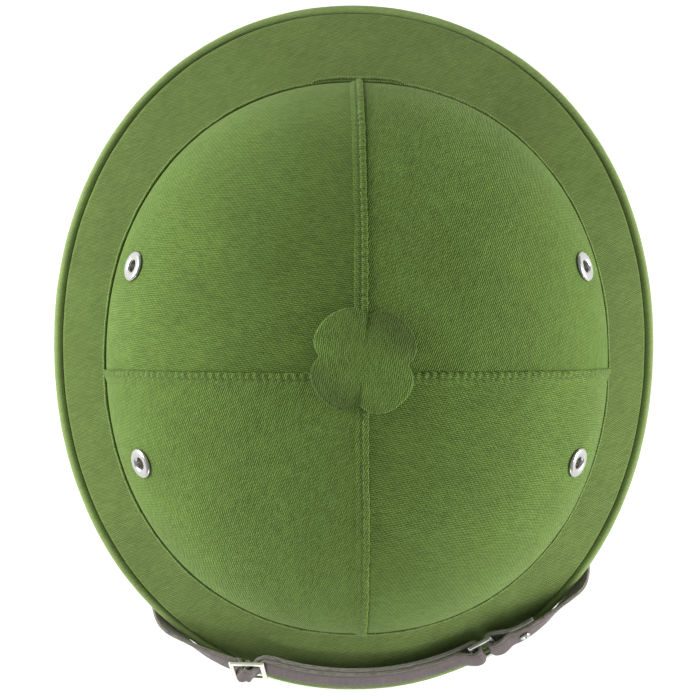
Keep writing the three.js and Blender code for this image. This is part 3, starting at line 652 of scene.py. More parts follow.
def crown_panel(node, first_side, last_side):
    """One quarter of the crown cloth: rays in plan from the seams' crossing out to the wall."""
    first = seam_end(first_side)
    last = seam_end(last_side)
    if last < first:
        last += 2 * math.pi
    turns = first + (last - first) * np.linspace(0, 1, PANEL_RAYS)
    foot = oval_point(CROWN, turns)
    rays = foot[:, :2] - SEAM_CROSSING
    start = (CROWN_HOLE / np.linalg.norm(rays, axis=1))[:, None]
    out = start + (1 - start) * crowded_steps(RAY_STEPS)
    plan = SEAM_CROSSING + rays[:, None, :] * out[..., None]
    x = plan[..., 0]
    y = plan[..., 1]
    surface = dome_place(x, y)
    facing = dome_facing(x, y)
    outer = surface + facing * (COVER_OUT + cloth_relief(x, y)[..., None])
    inner = surface + facing * GAP
    level = oval_outward(CROWN, turns)
    foot[:, 2] = BAND_TOP_HEIGHT
    tuck = np.stack([foot + level * (COVER_OUT - 0.05) - UP * 0.7,
                     foot + level * (COVER_OUT - 0.4) - UP * 1.3,
                     foot + level * (GAP + 0.1) - UP * 1.4], 1)
    # The innermost place of the back is left out, so that the end faces have an even count
    loops = np.concatenate([outer, tuck, inner[:, :0:-1]], 1)
    return lofted(node, loops, dome_weave(loops), [PANEL_CLOTH[node]])


# Lapped seams. out is the distance in from the folded edge and rise the height over the cloth.
SEAM_SECTION = named_rows(
    "out rise",
    (0.3, -0.7), (0.0, -0.1), (-0.14, 0.35), (0.0, 0.72),
    (0.32, 0.95), (1.0, 1.0), (1.9, 0.92), (2.4, 0.6),
    (2.65, 0.3), (2.9, 0.36), (3.3, 0.4), (4.0, 0.24),
    (4.8, 0.06), (5.6, -0.12), (5.8, -0.7), (3.0, -0.8),
)
STITCH_OUT = 2.65
STITCH_RISE = 0.36
STITCH_PITCH = 3.1
STITCH_LENGTH = 2.3
STITCH_RADIUS = 0.24
SEAM_PITCH = 0.5
SEAM_TAIL = 4.0
SEAM_START = 7.0
STITCH_SIDES = 6
STITCH_SECTION = named_rows(
    "share width",
    (0.0, 0.05), (0.06, 0.55), (0.18, 0.9), (0.5, 1.0), (0.82, 0.9), (0.94, 0.55), (1.0, 0.05),
)

def seam_path(side):
    """Even rows along a seam: distance, place on the shell, facing of the dome and way into the lap."""
    ray = oval_point(CROWN, seam_end(side))[:2] - SEAM_CROSSING
    begin = SEAM_START / np.linalg.norm(ray)
    plan = SEAM_CROSSING + ray * (begin + (1 - begin) * crowded_steps(900))[:, None]
    surface = dome_place(plan[:, 0], plan[:, 1])
    facing = dome_facing(plan[:, 0], plan[:, 1])
    tail = np.linspace(0, SEAM_TAIL, 12)[1:, None]
    surface = np.concatenate([surface, surface[-1] - UP * tail])
    facing = np.concatenate([facing, np.repeat(facing[-1:], len(tail), 0)])
    length = path_length(surface)
    even = np.arange(0, length[-1], SEAM_PITCH)
    surface = along_path(even, length, surface)
    facing = unit(along_path(even, length, facing))
    into = np.cross(facing, unit(np.gradient(surface, axis=0)))
    into = into * np.sign(into @ np.array(SEAMS[side]["into"]))[:, None]
    return even, surface, facing, into


def seam_seed(side):
    return len(side) + SEAMS[side]["fixed_at"]


def seam_drift(side, even):
    """How far a seam wanders from its line, in millimetres."""
    return 0.25 * wobble(even * 0.06, seam_seed(side) + 3)


def seam_lap(side):
    """The raised lap of one seam, puckered by its stitches."""
    even, surface, facing, into = seam_path(side)
    seed = seam_seed(side)
    out = values_of(SEAM_SECTION, "out")
    rise = values_of(SEAM_SECTION, "rise")
    pucker = 0.2 * np.cos(2 * math.pi * even / STITCH_PITCH)
    uneven = 0.2 * wobble(even * 0.33, seed)
    swell = 1 + 0.5 * smooth((even - even[-1] + 16) / 12)
    height = rise * np.where(rise > 0, swell[:, None], 1.0)
    height = height + np.clip(rise, 0, 1) * (pucker + uneven)[:, None]
    fold = 0.22 * wobble(even * 0.9, seed + 5)[:, None] * np.clip(1 - out / 1.5, 0, 1)
    place = out + seam_drift(side, even)[:, None] + fold
    points = (surface[:, None, :] + facing[:, None, :] * (COVER_OUT + height)[..., None]
              + into[:, None, :] * place[..., None])
    cloth = PANEL_CLOTH[SEAMS[side]["panel"]]
    return lofted("seam_" + side, points, dome_weave(points), [cloth], strip_caps=False)


def stitch_rings(start, end, up):
    """Rings of one rounded stitch from start to end, with its ends sunk into the cloth."""
    along = unit(end - start)
    side = np.cross(along, up)
    length = np.linalg.norm(end - start)
    angles = full_circle(STITCH_SIDES)[:, None]
    circle = np.cos(angles) * side + np.sin(angles) * up
    rings = []
    for row in STITCH_SECTION:
        sink = 0.9 * STITCH_RADIUS * (2 * row["share"] - 1) ** 4
        centre = start + along * length * row["share"] - up * sink
        rings.append(centre + STITCH_RADIUS * row["width"] * circle)
    return np.array(rings)


def stitches():
    points = []
    faces = []
    for side in SEAMS:
        even, surface, facing, into = seam_path(side)
        out = (STITCH_OUT + seam_drift(side, even))[:, None]
        line = surface + facing * (COVER_OUT + STITCH_RISE) + into * out
        place = 1.0
        while place + STITCH_LENGTH < even[-1] - SEAM_TAIL:
            start, end = along_path([place, place + STITCH_LENGTH], even, line)
            rings = stitch_rings(start, end, facing[int(place / SEAM_PITCH)])
            first = len(points) * len(rings) * STITCH_SIDES
            local = loft_faces(len(rings), STITCH_SIDES, strip_caps=False)
            faces.extend([[first + corner for corner in face] for face in local])
            points.append(rings.reshape(-1, 3))
            place += STITCH_PITCH
    return new_object("seam_stitches", np.concatenate(points), faces, materials=[THREAD_WITH_GROOVE_SHADE])


# Eyelets, placed as shares of the crown's half width and half length
EYELETS = named_rows(
    "corner across back",
    ("back_right", -0.876, 0.328),
    ("back_left", 0.876, 0.328),
    ("front_right", -0.846, -0.367),
    ("front_left", 0.846, -0.367),
)
EYELET_FLANGE = 6.3
EYELET_BARREL = 3.4
EYELET_BORE = 2.4
HOLE_ROOM = 0.1
DRILL_SIDES = 40
EYELET_DRILL_REACH = 8


def eyelet_frame(row):
    x = np.array(row["across"] * CROWN["half"])
    y = np.array(CROWN["middle"] + row["back"] * CROWN["back"])
    return frame_at(dome_place(x, y), dome_facing(x, y))


def eyelet_hole(row):
    return eyelet_frame(row), EYELET_BARREL + HOLE_ROOM, -EYELET_DRILL_REACH, EYELET_DRILL_REACH


def eyelet(row):
    """A rolled flange that curls down into its barrel."""
    seat = COVER_OUT + 0.1
    inside = -SHELL_WALL - GAP
    middle = (EYELET_FLANGE + EYELET_BORE) / 2
    reach = (EYELET_FLANGE - EYELET_BORE) / 2
    profile = [[EYELET_BORE, inside - 0.2], [EYELET_BORE + 0.45, inside - 0.5],
               [EYELET_BARREL, inside - 0.2], [EYELET_BARREL, seat], [EYELET_FLANGE - 0.5, seat]]
    profile += rolled_edge(middle, reach, seat + 0.1, 1.25, 12, 0.8)
    profile.append([EYELET_BORE, seat - 1.0])
    return lathe("eyelet_" + row["corner"] + "_trim", profile, eyelet_frame(row), 64, EYELET_METAL)


# Shell, brim, rim and band

RING_TURNS = 360
SHELL_TURNS = 240
RIM_TURNS = 480
RIM_SIDES = 20
RIM_TUCK = 0.35
BRIM_STEPS = 30


def ring_turns(count=RING_TURNS):
    return QUARTER + full_circle(count)


def brim_rows(turns, distance, shares):
    """Rows of the brim from the wall's foot to the rim, at a distance over the shell."""
    level = oval_outward(CROWN, turns)
    root = oval_point(CROWN, turns) + level * WALL_FLARE
    root[:, 2] = BRIM_ROOT_HEIGHT
    bead = bead_centre(turns)
    run = bead - unit(bead - root) * (BEAD_RADIUS + RIM_TUCK) - root
    blend = shares[:, None]
    along = root[:, None, :] + run[:, None, :] * blend
    along[..., 2] += 4 * BRIM_SWELL * shares * (1 - shares)
    facing = unit(level[:, None, :] * (1 - blend) + oval_outward(BRIM, turns)[:, None, :] * blend)
    reach = np.linalg.norm(run, axis=1)
    upright = np.linalg.norm(run[:, :2], axis=1) / reach
    outward = -run[:, 2] / reach
    normal = facing * outward[:, None, None] + UP * upright[:, None, None]
    return along + normal * distance, normal


def shell_piece():
    """The pressed shell: dome, wall and brim in one skin."""
    turns = ring_turns(SHELL_TURNS)
    walls = oval_point(CROWN, turns)[:, None, :]
    plan = CROWN_CENTRE + (walls - CROWN_CENTRE) * crowded_steps(40, 0.05)[:, None]
    surface = dome_place(plan[..., 0], plan[..., 1])
    facing = dome_facing(plan[..., 0], plan[..., 1])
    brim, normal = brim_rows(turns, 0.0, np.linspace(0, 1, 16))
    level = oval_outward(CROWN, turns)[:, None, :]
    inner = np.concatenate([surface[:, :-1] - facing[:, :-1] * SHELL_WALL,
                            surface[:, -1:] - level * SHELL_WALL,
                            brim[:, :1] - level * SHELL_WALL - UP * 1.2,
                            brim[:, 1:] - normal[:, 1:] * SHELL_WALL], 1)
    loops = np.concatenate([surface, brim, inner[:, ::-1]], 1)
    piece = lofted("shell_body", loops, materials=[SHELL_FIBRE], ring=True)
    return drilled(piece, [eyelet_hole(row) for row in EYELETS])


def brim_relief(points, shares):
    """Faint waves of the brim cloth, in millimetres."""
    x = points[..., 0]
    y = points[..., 1]
    around = np.arctan2(y, x)
    ripple = 0.22 * wobble(around * 9.0, 0.4) * np.sin(math.pi * shares)
    pulls = 0.12 * wobble(around * 31.0 + shares * 2.0, 2.2) * smooth(shares * 1.6 - 0.4)
    crease = 0.35 * np.exp(-(((x - 21) * 0.5 + (y + 132) * 0.8) / 1.6) ** 2 - ((x - 21) / 14) ** 2)
    return ripple + pulls + crease * (y < 0)


def brim_cover_piece():
    turns = ring_turns()
    shares = np.linspace(0, 1, BRIM_STEPS)
    outer, normal = brim_rows(turns, COVER_OUT, shares)
    inner = brim_rows(turns, GAP, shares)[0]
    relief = brim_relief(outer, shares) - 1.0 * smooth((shares - 0.965) / 0.035)
    fillet = 1.4 * (1 - smooth(shares / 0.07))
    outer = outer + normal * (relief + fillet)[..., None]
    loops = np.concatenate([outer, inner[:, ::-1]], 1)
    return lofted("brim_cloth_cover", loops, loops[..., :2] / WEAVE_UNIT, [BRIM_CLOTH], ring=True)


def rim_piece():
    """The rolled rim: a soft bead with a flat underside."""
    turns = ring_turns(RIM_TURNS)
    angles = full_circle(RIM_SIDES)[:, None]
    radius = BEAD_RADIUS * (1 + 0.03 * wobble(np.arange(RIM_TURNS) * 0.22, 5.0))
    level = np.cos(angles) * oval_outward(BRIM, turns)[:, None, :]
    upright = np.maximum(np.sin(angles), -0.97) * UP
    loops = bead_centre(turns)[:, None, :] + radius[:, None, None] * (level + upright)
    loops[..., 2] = np.maximum(loops[..., 2], 0.02)
    return lofted("rolled_rim", loops, loops[..., :2] / WEAVE_UNIT, [LIT_RIM_CLOTH], ring=True)


# Band section: out is the distance from the shell's wall, down the depth below the band's top
BAND_SECTION = named_rows(
    "out down",
    (1.5, 5.0), (1.7, 1.2), (2.1, 0.3), (2.55, 0.0),
    (3.0, 0.25), (3.2, 0.9), (3.1, 2.2), (2.4, 4.2),
    (1.9, 7.0), (1.75, 13.0), (1.75, 19.0), (1.9, 21.6),
    (1.2, 22.6), (0.3, 21.8), (0.3, 12.0), (0.35, 5.6),
)
BAND_OUTSIDE_ROW = 9
BAND_TOP = BAND_TOP_HEIGHT - GAP


def wall_points(turns, out, height):
    """Places outside the upright wall at heights, following the wall's flare."""
    share = (BAND_TOP_HEIGHT - height) / (BAND_TOP_HEIGHT - BRIM_ROOT_HEIGHT)
    place = oval_point(CROWN, turns)[:, None, :]
    level = oval_outward(CROWN, turns)[:, None, :]
    points = place + level * (WALL_FLARE * share + out)[..., None]
    points[..., 2] = height
    return points


def flat_weave(along, across):
    """Weave map of a flat piece, from lengths along and across it."""
    return np.stack(np.broadcast_arrays(along, across), -1) / WEAVE_UNIT


def band_piece():
    turns = ring_turns()
    out = values_of(BAND_SECTION, "out")
    down = values_of(BAND_SECTION, "down")
    place = np.arange(len(turns)) * 0.09
    wave = 0.18 * wobble(place * 3.0, 0.7) + 0.12 * wobble(place * 9.0, 1.9)
    proud = np.clip((out - 1.4) / 1.6, 0, 1)
    height = BAND_TOP - down + 0.35 * wobble(place * 2.2, 3.3)[:, None] * (down < 6)
    loops = wall_points(turns, out + wave[:, None] * proud, height)
    around = path_length(loops[:, BAND_OUTSIDE_ROW])[:, None]
    return lofted("hatband_cloth", loops, flat_weave(around, BAND_TOP - down), [BAND_CLOTH], ring=True)


TAB_WIDTH = 33
TAB_THICKNESS = 1.5
# thick is the share of the thickness at which the section's outline lies, from the back
TAB_SECTION = named_rows(
    "height thick",
    (29.8, 0.2), (29.4, 0.5), (29.8, 0.9), (38.0, 1.0), (46.0, 1.0),
    (50.2, 0.95), (51.0, 0.5), (50.2, 0.05), (46.0, 0.0), (38.0, 0.0),
)


def tab_piece():
    """The folded end of the band at the back, a flat tab that stands a little off the crown."""
    shares = np.linspace(-1, 1, 60)[:, None]
    sideways = TAB_WIDTH / 2 * shares
    height = values_of(TAB_SECTION, "height")
    ends = 1 - np.clip((np.abs(shares) - 0.94) / 0.06, 0, 1) ** 2 * 0.6
    stand = 3.0 + 0.35 * wobble(shares * 2.0, 1.1) - 0.5 * np.abs(shares) ** 6
    out = stand + (0.5 + (values_of(TAB_SECTION, "thick") - 0.5) * ends) * TAB_THICKNESS
    loops = wall_points(QUARTER + sideways[:, 0] / CROWN["half"], out, height)
    return lofted("band_tab_cloth", loops, flat_weave(sideways, height), [BAND_CLOTH])


# Covered button and its post

BUTTON_LOBE = 22.6
BUTTON_NOTCH = 17.9
BUTTON_NOTCH_SPREAD = 13.5
BUTTON_NOTCH_SHARPNESS = 1.3
BUTTON_TURN = -5.7
BUTTON_THICKNESS = 2.4
BUTTON_CROWNING = 2.2
BUTTON_DROOP = 2.6
BUTTON_CLEARANCE = 4.2
COLLAR_FOOT = BAND_TOP_HEIGHT + DOME_RISE + COVER_OUT + GAP
BUTTON_FOOT = COLLAR_FOOT + BUTTON_CLEARANCE
BUTTON_SIDES = 200
BUTTON_RINGS = 30
EDGE_STEPS = 8


def button_radius(angle):
    quarters = (np.degrees(angle) - BUTTON_TURN) / 90
    from_notch = (quarters - np.round(quarters)) * 90
    nearness = np.exp(-((np.abs(from_notch) / BUTTON_NOTCH_SPREAD) ** BUTTON_NOTCH_SHARPNESS))
    return BUTTON_LOBE - (BUTTON_LOBE - BUTTON_NOTCH) * nearness


def button_height(share, angle, radius):
    """Height of the button's face over its foot: crowned, with drooping lobes and pinched notches."""
    slanted = 1 + 0.8 * np.cos(2 * (angle - math.radians(45)))
    droop = BUTTON_DROOP * slanted * (share * radius / BUTTON_LOBE) ** 2.8
    notch = np.clip((BUTTON_LOBE - radius) / (BUTTON_LOBE - BUTTON_NOTCH), 0, 1)
    pinch = 1.2 * notch ** 1.5 * smooth((share - 0.3) / 0.7)
    return BUTTON_CROWNING * (1 - share ** 2) - droop - pinch


def button_piece():
    angles = full_circle(BUTTON_SIDES)
    radius = button_radius(angles)
    roll = BUTTON_THICKNESS / 2
    inner_share = (radius - roll) / radius

    def ring(reach, lift):
        return np.stack([reach * np.cos(angles), reach * np.sin(angles), lift], -1)

    def face_ring(step, raised):
        share = step / BUTTON_RINGS * inner_share
        return ring(share * radius, raised + button_height(share, angles, radius))

    loops = [face_ring(step, BUTTON_THICKNESS) for step in range(1, BUTTON_RINGS + 1)]
    for step in range(1, EDGE_STEPS):
        turn = math.pi * step / EDGE_STEPS
        lift = button_height(inner_share, angles, radius) + roll + roll * math.cos(turn)
        loops.append(ring(radius - roll + roll * math.sin(turn), lift))
    loops += [face_ring(step, 0.0) for step in range(BUTTON_RINGS, 0, -3)]
    tips = [[0.0, 0.0, BUTTON_THICKNESS + BUTTON_CROWNING], [0.0, 0.0, BUTTON_CROWNING]]
    points = np.concatenate([np.array(loops).reshape(-1, 3), tips]) + CROWN_CENTRE + UP * BUTTON_FOOT
    last = (len(loops) - 1) * BUTTON_SIDES
    top = last + BUTTON_SIDES
    faces = loft_faces(len(loops), BUTTON_SIDES)[:last]
    for side in range(BUTTON_SIDES):
        beside = (side + 1) % BUTTON_SIDES
        faces.append([side, beside, top])
        faces.append([last + side, last + beside, top + 1])
    return new_object("covered_button", points, faces, points[:, :2] / WEAVE_UNIT, [BUTTON_CLOTH])


POST_RADIUS = 4
COLLAR_RADIUS = 8
COLLAR_THICKNESS = 1.6


def post_piece():
    """The stem below the button, with a collar on each side of the shell's top."""
    inside = BAND_TOP_HEIGHT + DOME_RISE - SHELL_WALL - 2 * GAP
    below = inside - COLLAR_THICKNESS
    above = COLLAR_FOOT + COLLAR_THICKNESS
    top = BUTTON_FOOT + BUTTON_CROWNING * (1 - (POST_RADIUS / BUTTON_LOBE) ** 2) - 0.1
    profile = [[0, below], [COLLAR_RADIUS - 0.5, below], [COLLAR_RADIUS, below + 0.5],
               [COLLAR_RADIUS, inside], [POST_RADIUS, inside], [POST_RADIUS, COLLAR_FOOT - 0.2],
               [COLLAR_RADIUS, COLLAR_FOOT - 0.2], [COLLAR_RADIUS, above - 0.5],
               [COLLAR_RADIUS - 0.6, above], [POST_RADIUS, above + 1], [POST_RADIUS, top], [0, top]]
    place = frame_of((1, 0, 0), (0, 1, 0), (0, 0, 1), CROWN_CENTRE)
    return lathe("button_stem", profile, place, 48, BUCKLE_METAL)


# Chin strap. Places along it are distances round the rim from the front, positive towards +X.

STRAP_WIDTH = 13
STRAP_THICKNESS = 1.5
STRAP_SHOWN = 1.68
STRAP_STAND = 6.2
RETURN_RAISE = 0.8
SLIDER_PLACE = -48
LINK_PLACE = 62
STUD_PLACE = 80
SHORT_RETURN = 20
ANCHOR_HEIGHT = 36
ANCHOR_TURN = 1
ANCHOR_CLIMB = 0.55
HIDDEN_BEND = 0.1
SLIDER_LENGTH = 15.5
SLIDER_BAR = 2
SLIDER_THICKNESS = 1.5
SLIDER_ROUNDING = 0.55
LINK_LENGTH = 11.5
LINK_WIRE = 1.8
LINK_ROUNDING = 0.7
LINK_SET_OUT = 1.6
EDGE_ROOM = 1
BEAD_CORNER = BEAD_RADIUS / math.cos(math.pi / 8)
WRAP = BEAD_CORNER + 2 * GAP + STRAP_THICKNESS / 2
STANDING_LIFT = STRAP_STAND + STRAP_WIDTH / 2
ROUND_GAP = 1.5 * GAP
LAYER_STEP = STRAP_THICKNESS + GAP
MIDDLE_LAYER = -LAYER_STEP / 2
LINK_MIDDLE = MIDDLE_LAYER + LINK_SET_OUT
LOOP_RADIUS = LINK_WIRE * math.sqrt(0.5) + 3 * GAP + STRAP_THICKNESS / 2
LINK_BAR_OFFSET = (LINK_LENGTH - LINK_WIRE) / 2
OPENING_LENGTH = 9
SLIDER_HALF = SLIDER_LENGTH / 2
OVER_BAR = SLIDER_THICKNESS + 2 * ROUND_GAP + STRAP_THICKNESS + GAP

# How the strap stands over the brim and crosses the rim. share runs from where it leaves the top
# of the brim to where it lies nearly flat below the rim. lean is in degrees from facing level
# outward, set_out a share of the wrap distance and lift a share of its standing height.
CROSSING = named_rows(
    "share lean set_out lift",
    (0.0, 30, 0.75, 1.0),
    (0.2, 28, 1.34, 0.72),
    (0.4, 21, 1.2, 0.5),
    (0.55, 11, 1.0, 0.3),
    (0.7, -6, 0.96, 0.08),
    (0.8, -30, 1.0, -0.06),
    (0.9, -58, 1.04, -0.27),
    (1.0, -80, 1.2, -0.6),
)
# Where each side's crossing begins and ends, as shares of the rim's length from the front to the side
CROSSINGS = {
    -1: {"leaves": 0.17, "vanishes": 0.445},
    1: {"leaves": 0.29, "vanishes": 0.55},
}
# How the strap rides over the slider's middle bar and how its sewn end comes in below the bar
SLIDER_BULGE = named_rows(
    "share out end",
    (0.0, 1.0, 0.0),
    (0.23, 0.97, -0.05),
    (0.45, 0.43, -0.8),
    (0.66, 0.0, -1.05),
    (1.0, 0.0, -1.0),
)


def eased(rows, name, share):
    """Value of one column of a table, on a smooth curve through its rows."""
    places = values_of(rows, "share")
    values = values_of(rows, name)
    slopes = np.gradient(values, places)
    slopes[0] = 0.0
    held = min(max(share, places[0]), places[-1])
    low = min(int(np.searchsorted(places, held, side="right")) - 1, len(places) - 2)
    step = places[low + 1] - places[low]
    t = (held - places[low]) / step
    rise = (2 * t ** 3 - 3 * t ** 2 + 1) * values[low] + (3 * t ** 2 - 2 * t ** 3) * values[low + 1]
    bend = (t ** 3 - 2 * t ** 2 + t) * slopes[low] + (t ** 3 - t ** 2) * slopes[low + 1]
    return rise + bend * step


def rim_table():
    turns = -QUARTER + np.linspace(0, QUARTER, 1200)
    return path_length(bead_centre(turns)), turns


RIM_DISTANCE, RIM_TURN = rim_table()
RIM_QUARTER = RIM_DISTANCE[-1]


def turn_at(distance):
    turn = float(np.interp(abs(distance), RIM_DISTANCE, RIM_TURN))
    return -math.pi - turn if distance < 0 else turn


def vanishing_place(side):
    """Distance round the rim at which a side of the strap has gone below it."""
    return side * CROSSINGS[side]["vanishes"] * RIM_QUARTER


def strap_at(distance, out=0.0, lifted=0.0):
    """Centre of the strap, its width direction and the direction that its outer face looks in."""
    turn = np.array(turn_at(distance))
    crossing = CROSSINGS[-1 if distance < 0 else 1]
    beyond = abs(distance) / RIM_QUARTER - crossing["leaves"]
    share = beyond / (crossing["vanishes"] - crossing["leaves"])
    lean = math.radians(eased(CROSSING, "lean", share))
    level = oval_outward(BRIM, turn)
    facing = level * math.cos(lean) + UP * math.sin(lean)
    across = UP * math.cos(lean) - level * math.sin(lean)
    centre = bead_centre(turn)
    centre = centre + facing * (WRAP * eased(CROSSING, "set_out", share) + out)
    centre = centre + across * (STANDING_LIFT * eased(CROSSING, "lift", share) + lifted)
    return centre, across, facing


def anchor_at(side):
    turn = np.array(-math.radians(ANCHOR_TURN) if side > 0 else math.radians(ANCHOR_TURN) - math.pi)
    wall = oval_point(CROWN, turn)
    wall[2] = ANCHOR_HEIGHT
    return wall, oval_outward(CROWN, turn)


ANCHOR_SET_IN = SHELL_WALL + 2 * GAP + STRAP_THICKNESS / 2


def hidden_stretch(side):
    """The stretch below the brim: inward from the rim, then up along the wall to its rivet."""
    place = vanishing_place(side)
    start, start_across, _ = strap_at(place)
    wall, level = anchor_at(side)
    backward = np.array([-level[1] * side, level[0] * side, 0.0])
    climb = unit(backward + UP * ANCHOR_CLIMB)
    end = wall - level * ANCHOR_SET_IN - climb * STRAP_WIDTH / 2
    out = oval_outward(BRIM, np.array(turn_at(place)))
    onward = np.array([-out[1] * side, out[0] * side, 0.0])
    leaving = unit(onward - out + UP * HIDDEN_BEND)
    arriving = unit(climb + level * HIDDEN_BEND)
    reach = np.linalg.norm(end - start) / 3
    bends = [start, start + leaving * reach, end - arriving * reach, end]
    rows = []
    for t in np.linspace(0, 1, 61)[1:]:
        weights = [(1 - t) ** 3, 3 * t * (1 - t) ** 2, 3 * t * t * (1 - t), t ** 3]
        centre = sum(weight * bend for weight, bend in zip(weights, bends))
        across = unit(start_across * (1 - smooth(t)) - UP * smooth(t))
        rows.append((centre, across))
    for beyond in (0.25, 0.5, 0.75, 1.0, 1.5, 2.0):
        rows.append((end + climb * beyond * STRAP_WIDTH / 2, -UP))
    return rows


def spaced(start, stop, pitch):
    count = max(round(abs(stop - start) / pitch), 1)
    return [start + (stop - start) * index / count for index in range(count)]


def strap_row(distance, out=0.0, lifted=0.0):
    return strap_at(distance, out, lifted)[:2]


def loop_rows(side, coming, going):
    """Both layers of a strap that goes round a bar of the link, opening out towards the bar."""
    bar = LINK_PLACE + side * LINK_BAR_OFFSET

    def layer(place, way):
        near = 1 - float(smooth(abs(place - bar) / OPENING_LENGTH))
        spread = LAYER_STEP / 2 + near * (LOOP_RADIUS - LAYER_STEP / 2)
        lifted = 0.0 if way > 0 else RETURN_RAISE * (1 - near)
        return strap_row(place, MIDDLE_LAYER + near * LINK_SET_OUT + way * spread, lifted)

    rows = [layer(place, 1) for place in coming]
    for angle in np.linspace(0, math.pi, 25):
        place = bar - side * LOOP_RADIUS * math.sin(angle)
        rows.append(strap_row(place, LINK_MIDDLE + LOOP_RADIUS * math.cos(angle)))
    return rows + [layer(place, -1) for place in going]


STRAP_PITCH = 0.9


def long_strap_rows():
    bulge_start = SLIDER_PLACE - SLIDER_HALF
    bulge_end = SLIDER_PLACE + SLIDER_HALF
    bar = LINK_PLACE - LINK_BAR_OFFSET
    rows = hidden_stretch(-1)[::-1]
    rows += [strap_row(place) for place in spaced(vanishing_place(-1), bulge_start, STRAP_PITCH)]
    for share in np.linspace(-1, 1, 49)[:-1]:
        out = OVER_BAR * eased(SLIDER_BULGE, "out", abs(share))
        rows.append(strap_row(SLIDER_PLACE + share * SLIDER_HALF, out))
    coming = spaced(bulge_end, bar, STRAP_PITCH)
    going = spaced(bar, bulge_end, STRAP_PITCH)[1:]
    rows += loop_rows(-1, coming, going)
    for share in np.linspace(1, -0.15, 28):
        end = eased(SLIDER_BULGE, "end", abs(share))
        rows.append(strap_row(SLIDER_PLACE + share * SLIDER_HALF, LAYER_STEP * end, -RETURN_RAISE * end))
    return rows


def short_strap_rows():
    bar = LINK_PLACE + LINK_BAR_OFFSET
    opening = bar + OPENING_LENGTH
    rows = hidden_stretch(1)[::-1]
    rows += [strap_row(place) for place in spaced(vanishing_place(1), opening, STRAP_PITCH)]
    coming = spaced(opening, bar, STRAP_PITCH)
    going = spaced(bar, bar + SHORT_RETURN, STRAP_PITCH)[1:] + [bar + SHORT_RETURN]
    return rows + loop_rows(1, coming, going)


# Strap section as shares of its half width and half thickness. The first stretch is the finished face.
STRAP_SECTION = named_rows(
    "wide thick",
    (0.95, 1.0), (0.5, 1.06), (0.0, 1.08), (-0.5, 1.06), (-0.95, 1.0), (-0.985, 0.85),
    (-1.0, 0.5), (-1.0, -0.5), (-0.985, -0.85), (-0.95, -1.0), (-0.3, -1.0), (0.3, -1.0),
    (0.95, -1.0), (0.985, -0.85), (1.0, -0.5), (1.0, 0.5), (0.985, 0.85),
)
FACE_STRETCHES = 4


def strap_piece(name, rows, face_side, holes):
    """A flat strap through rows of centres and widths, with its finished face on the given side."""
    centres = np.array([row[0] for row in rows])
    widths = np.array([row[1] for row in rows])
    along = unit(np.gradient(centres, axis=0))
    widths = unit(widths - along * np.sum(widths * along, axis=1, keepdims=True))
    thick = np.cross(along, widths) * face_side
    length = path_length(centres)[:, None]
    half_width = STRAP_WIDTH / 2 + 0.12 * wobble(length * 0.35, face_side)
    sideways = (values_of(STRAP_SECTION, "wide") * half_width)[..., None]
    outward = (values_of(STRAP_SECTION, "thick") * STRAP_SHOWN / 2)[:, None]
    points = centres[:, None, :] + widths[:, None, :] * sideways + thick[:, None, :] * outward
    weave = flat_weave(length, path_length(points[0]))
    stretches = np.arange((len(rows) - 1) * len(STRAP_SECTION)) % len(STRAP_SECTION)
    kinds = [0 if stretch < FACE_STRETCHES else 1 for stretch in stretches] + [1, 1]
    faces = loft_faces(len(rows), len(STRAP_SECTION), strip_caps=False)
    piece = new_object(name, points, faces, weave, [STRAP_FACE, STRAP_EDGE], kinds)
    return drilled(piece, holes)


def strap_frame(place, out):
    """Frame on the standing strap: own X along it, own Y across it and own Z outward."""
    centre, across, _ = strap_at(place, out)
    along = unit(strap_at(place + 1, out)[0] - strap_at(place - 1, out)[0])
    facing = unit(np.cross(along, across))
    return frame_of(along, np.cross(facing, along), facing, centre)


def barred_frame(name, lines, bar, thickness, rounding, place, finish):
    """A metal frame with upright bars between pairs of lines and a rail along each edge."""
    half = STRAP_WIDTH / 2 + bar + EDGE_ROOM
    rails = [-half, -half + bar, half - bar, half]
    body = bmesh.new()
    corners = {}
    for column, x in enumerate(lines):
        for row, y in enumerate(rails):
            corners[column, row] = body.verts.new((x, y, 0.0))
    for column in range(len(lines) - 1):
        for row in range(3):
            if row == 1 and column % 2:
                continue
            body.faces.new([corners[column, row], corners[column + 1, row],
                            corners[column + 1, row + 1], corners[column, row + 1]])
    raised = bmesh.ops.extrude_face_region(body, geom=list(body.faces))
    tops = [item for item in raised["geom"] if isinstance(item, bmesh.types.BMVert)]
    bmesh.ops.translate(body, vec=(0.0, 0.0, thickness), verts=tops)
    mesh = bpy.data.meshes.new(name)
    body.to_mesh(mesh)
    body.free()
    face_outward(mesh)
    mesh.transform(Matrix(place.tolist()))
    mesh.transform(Matrix.Scale(MM, 4))
    mesh.materials.append(finish)
    piece = linked_object(name, mesh)
    rounded = piece.modifiers.new("rounded", "BEVEL")
    rounded.width = rounding * MM
    rounded.segments = 4
    rounded.limit_method = "ANGLE"
    with_modifiers(piece)
    piece.data.shade_smooth()
    return piece


def slider_piece():
    bar = SLIDER_BAR
    lines = [-SLIDER_HALF, -SLIDER_HALF + bar, -bar / 2, bar / 2, SLIDER_HALF - bar, SLIDER_HALF]
    place = strap_frame(SLIDER_PLACE, STRAP_THICKNESS / 2 + ROUND_GAP)
    return barred_frame("strap_slider", lines, bar, SLIDER_THICKNESS, SLIDER_ROUNDING, place, BUCKLE_METAL)


def link_piece():
    half = LINK_LENGTH / 2
    lines = [-half, -half + LINK_WIRE, half - LINK_WIRE, half]
    place = strap_frame(LINK_PLACE, LINK_MIDDLE - LINK_WIRE / 2)
    return barred_frame("strap_link", lines, LINK_WIRE, LINK_WIRE, LINK_ROUNDING, place, EYELET_METAL)


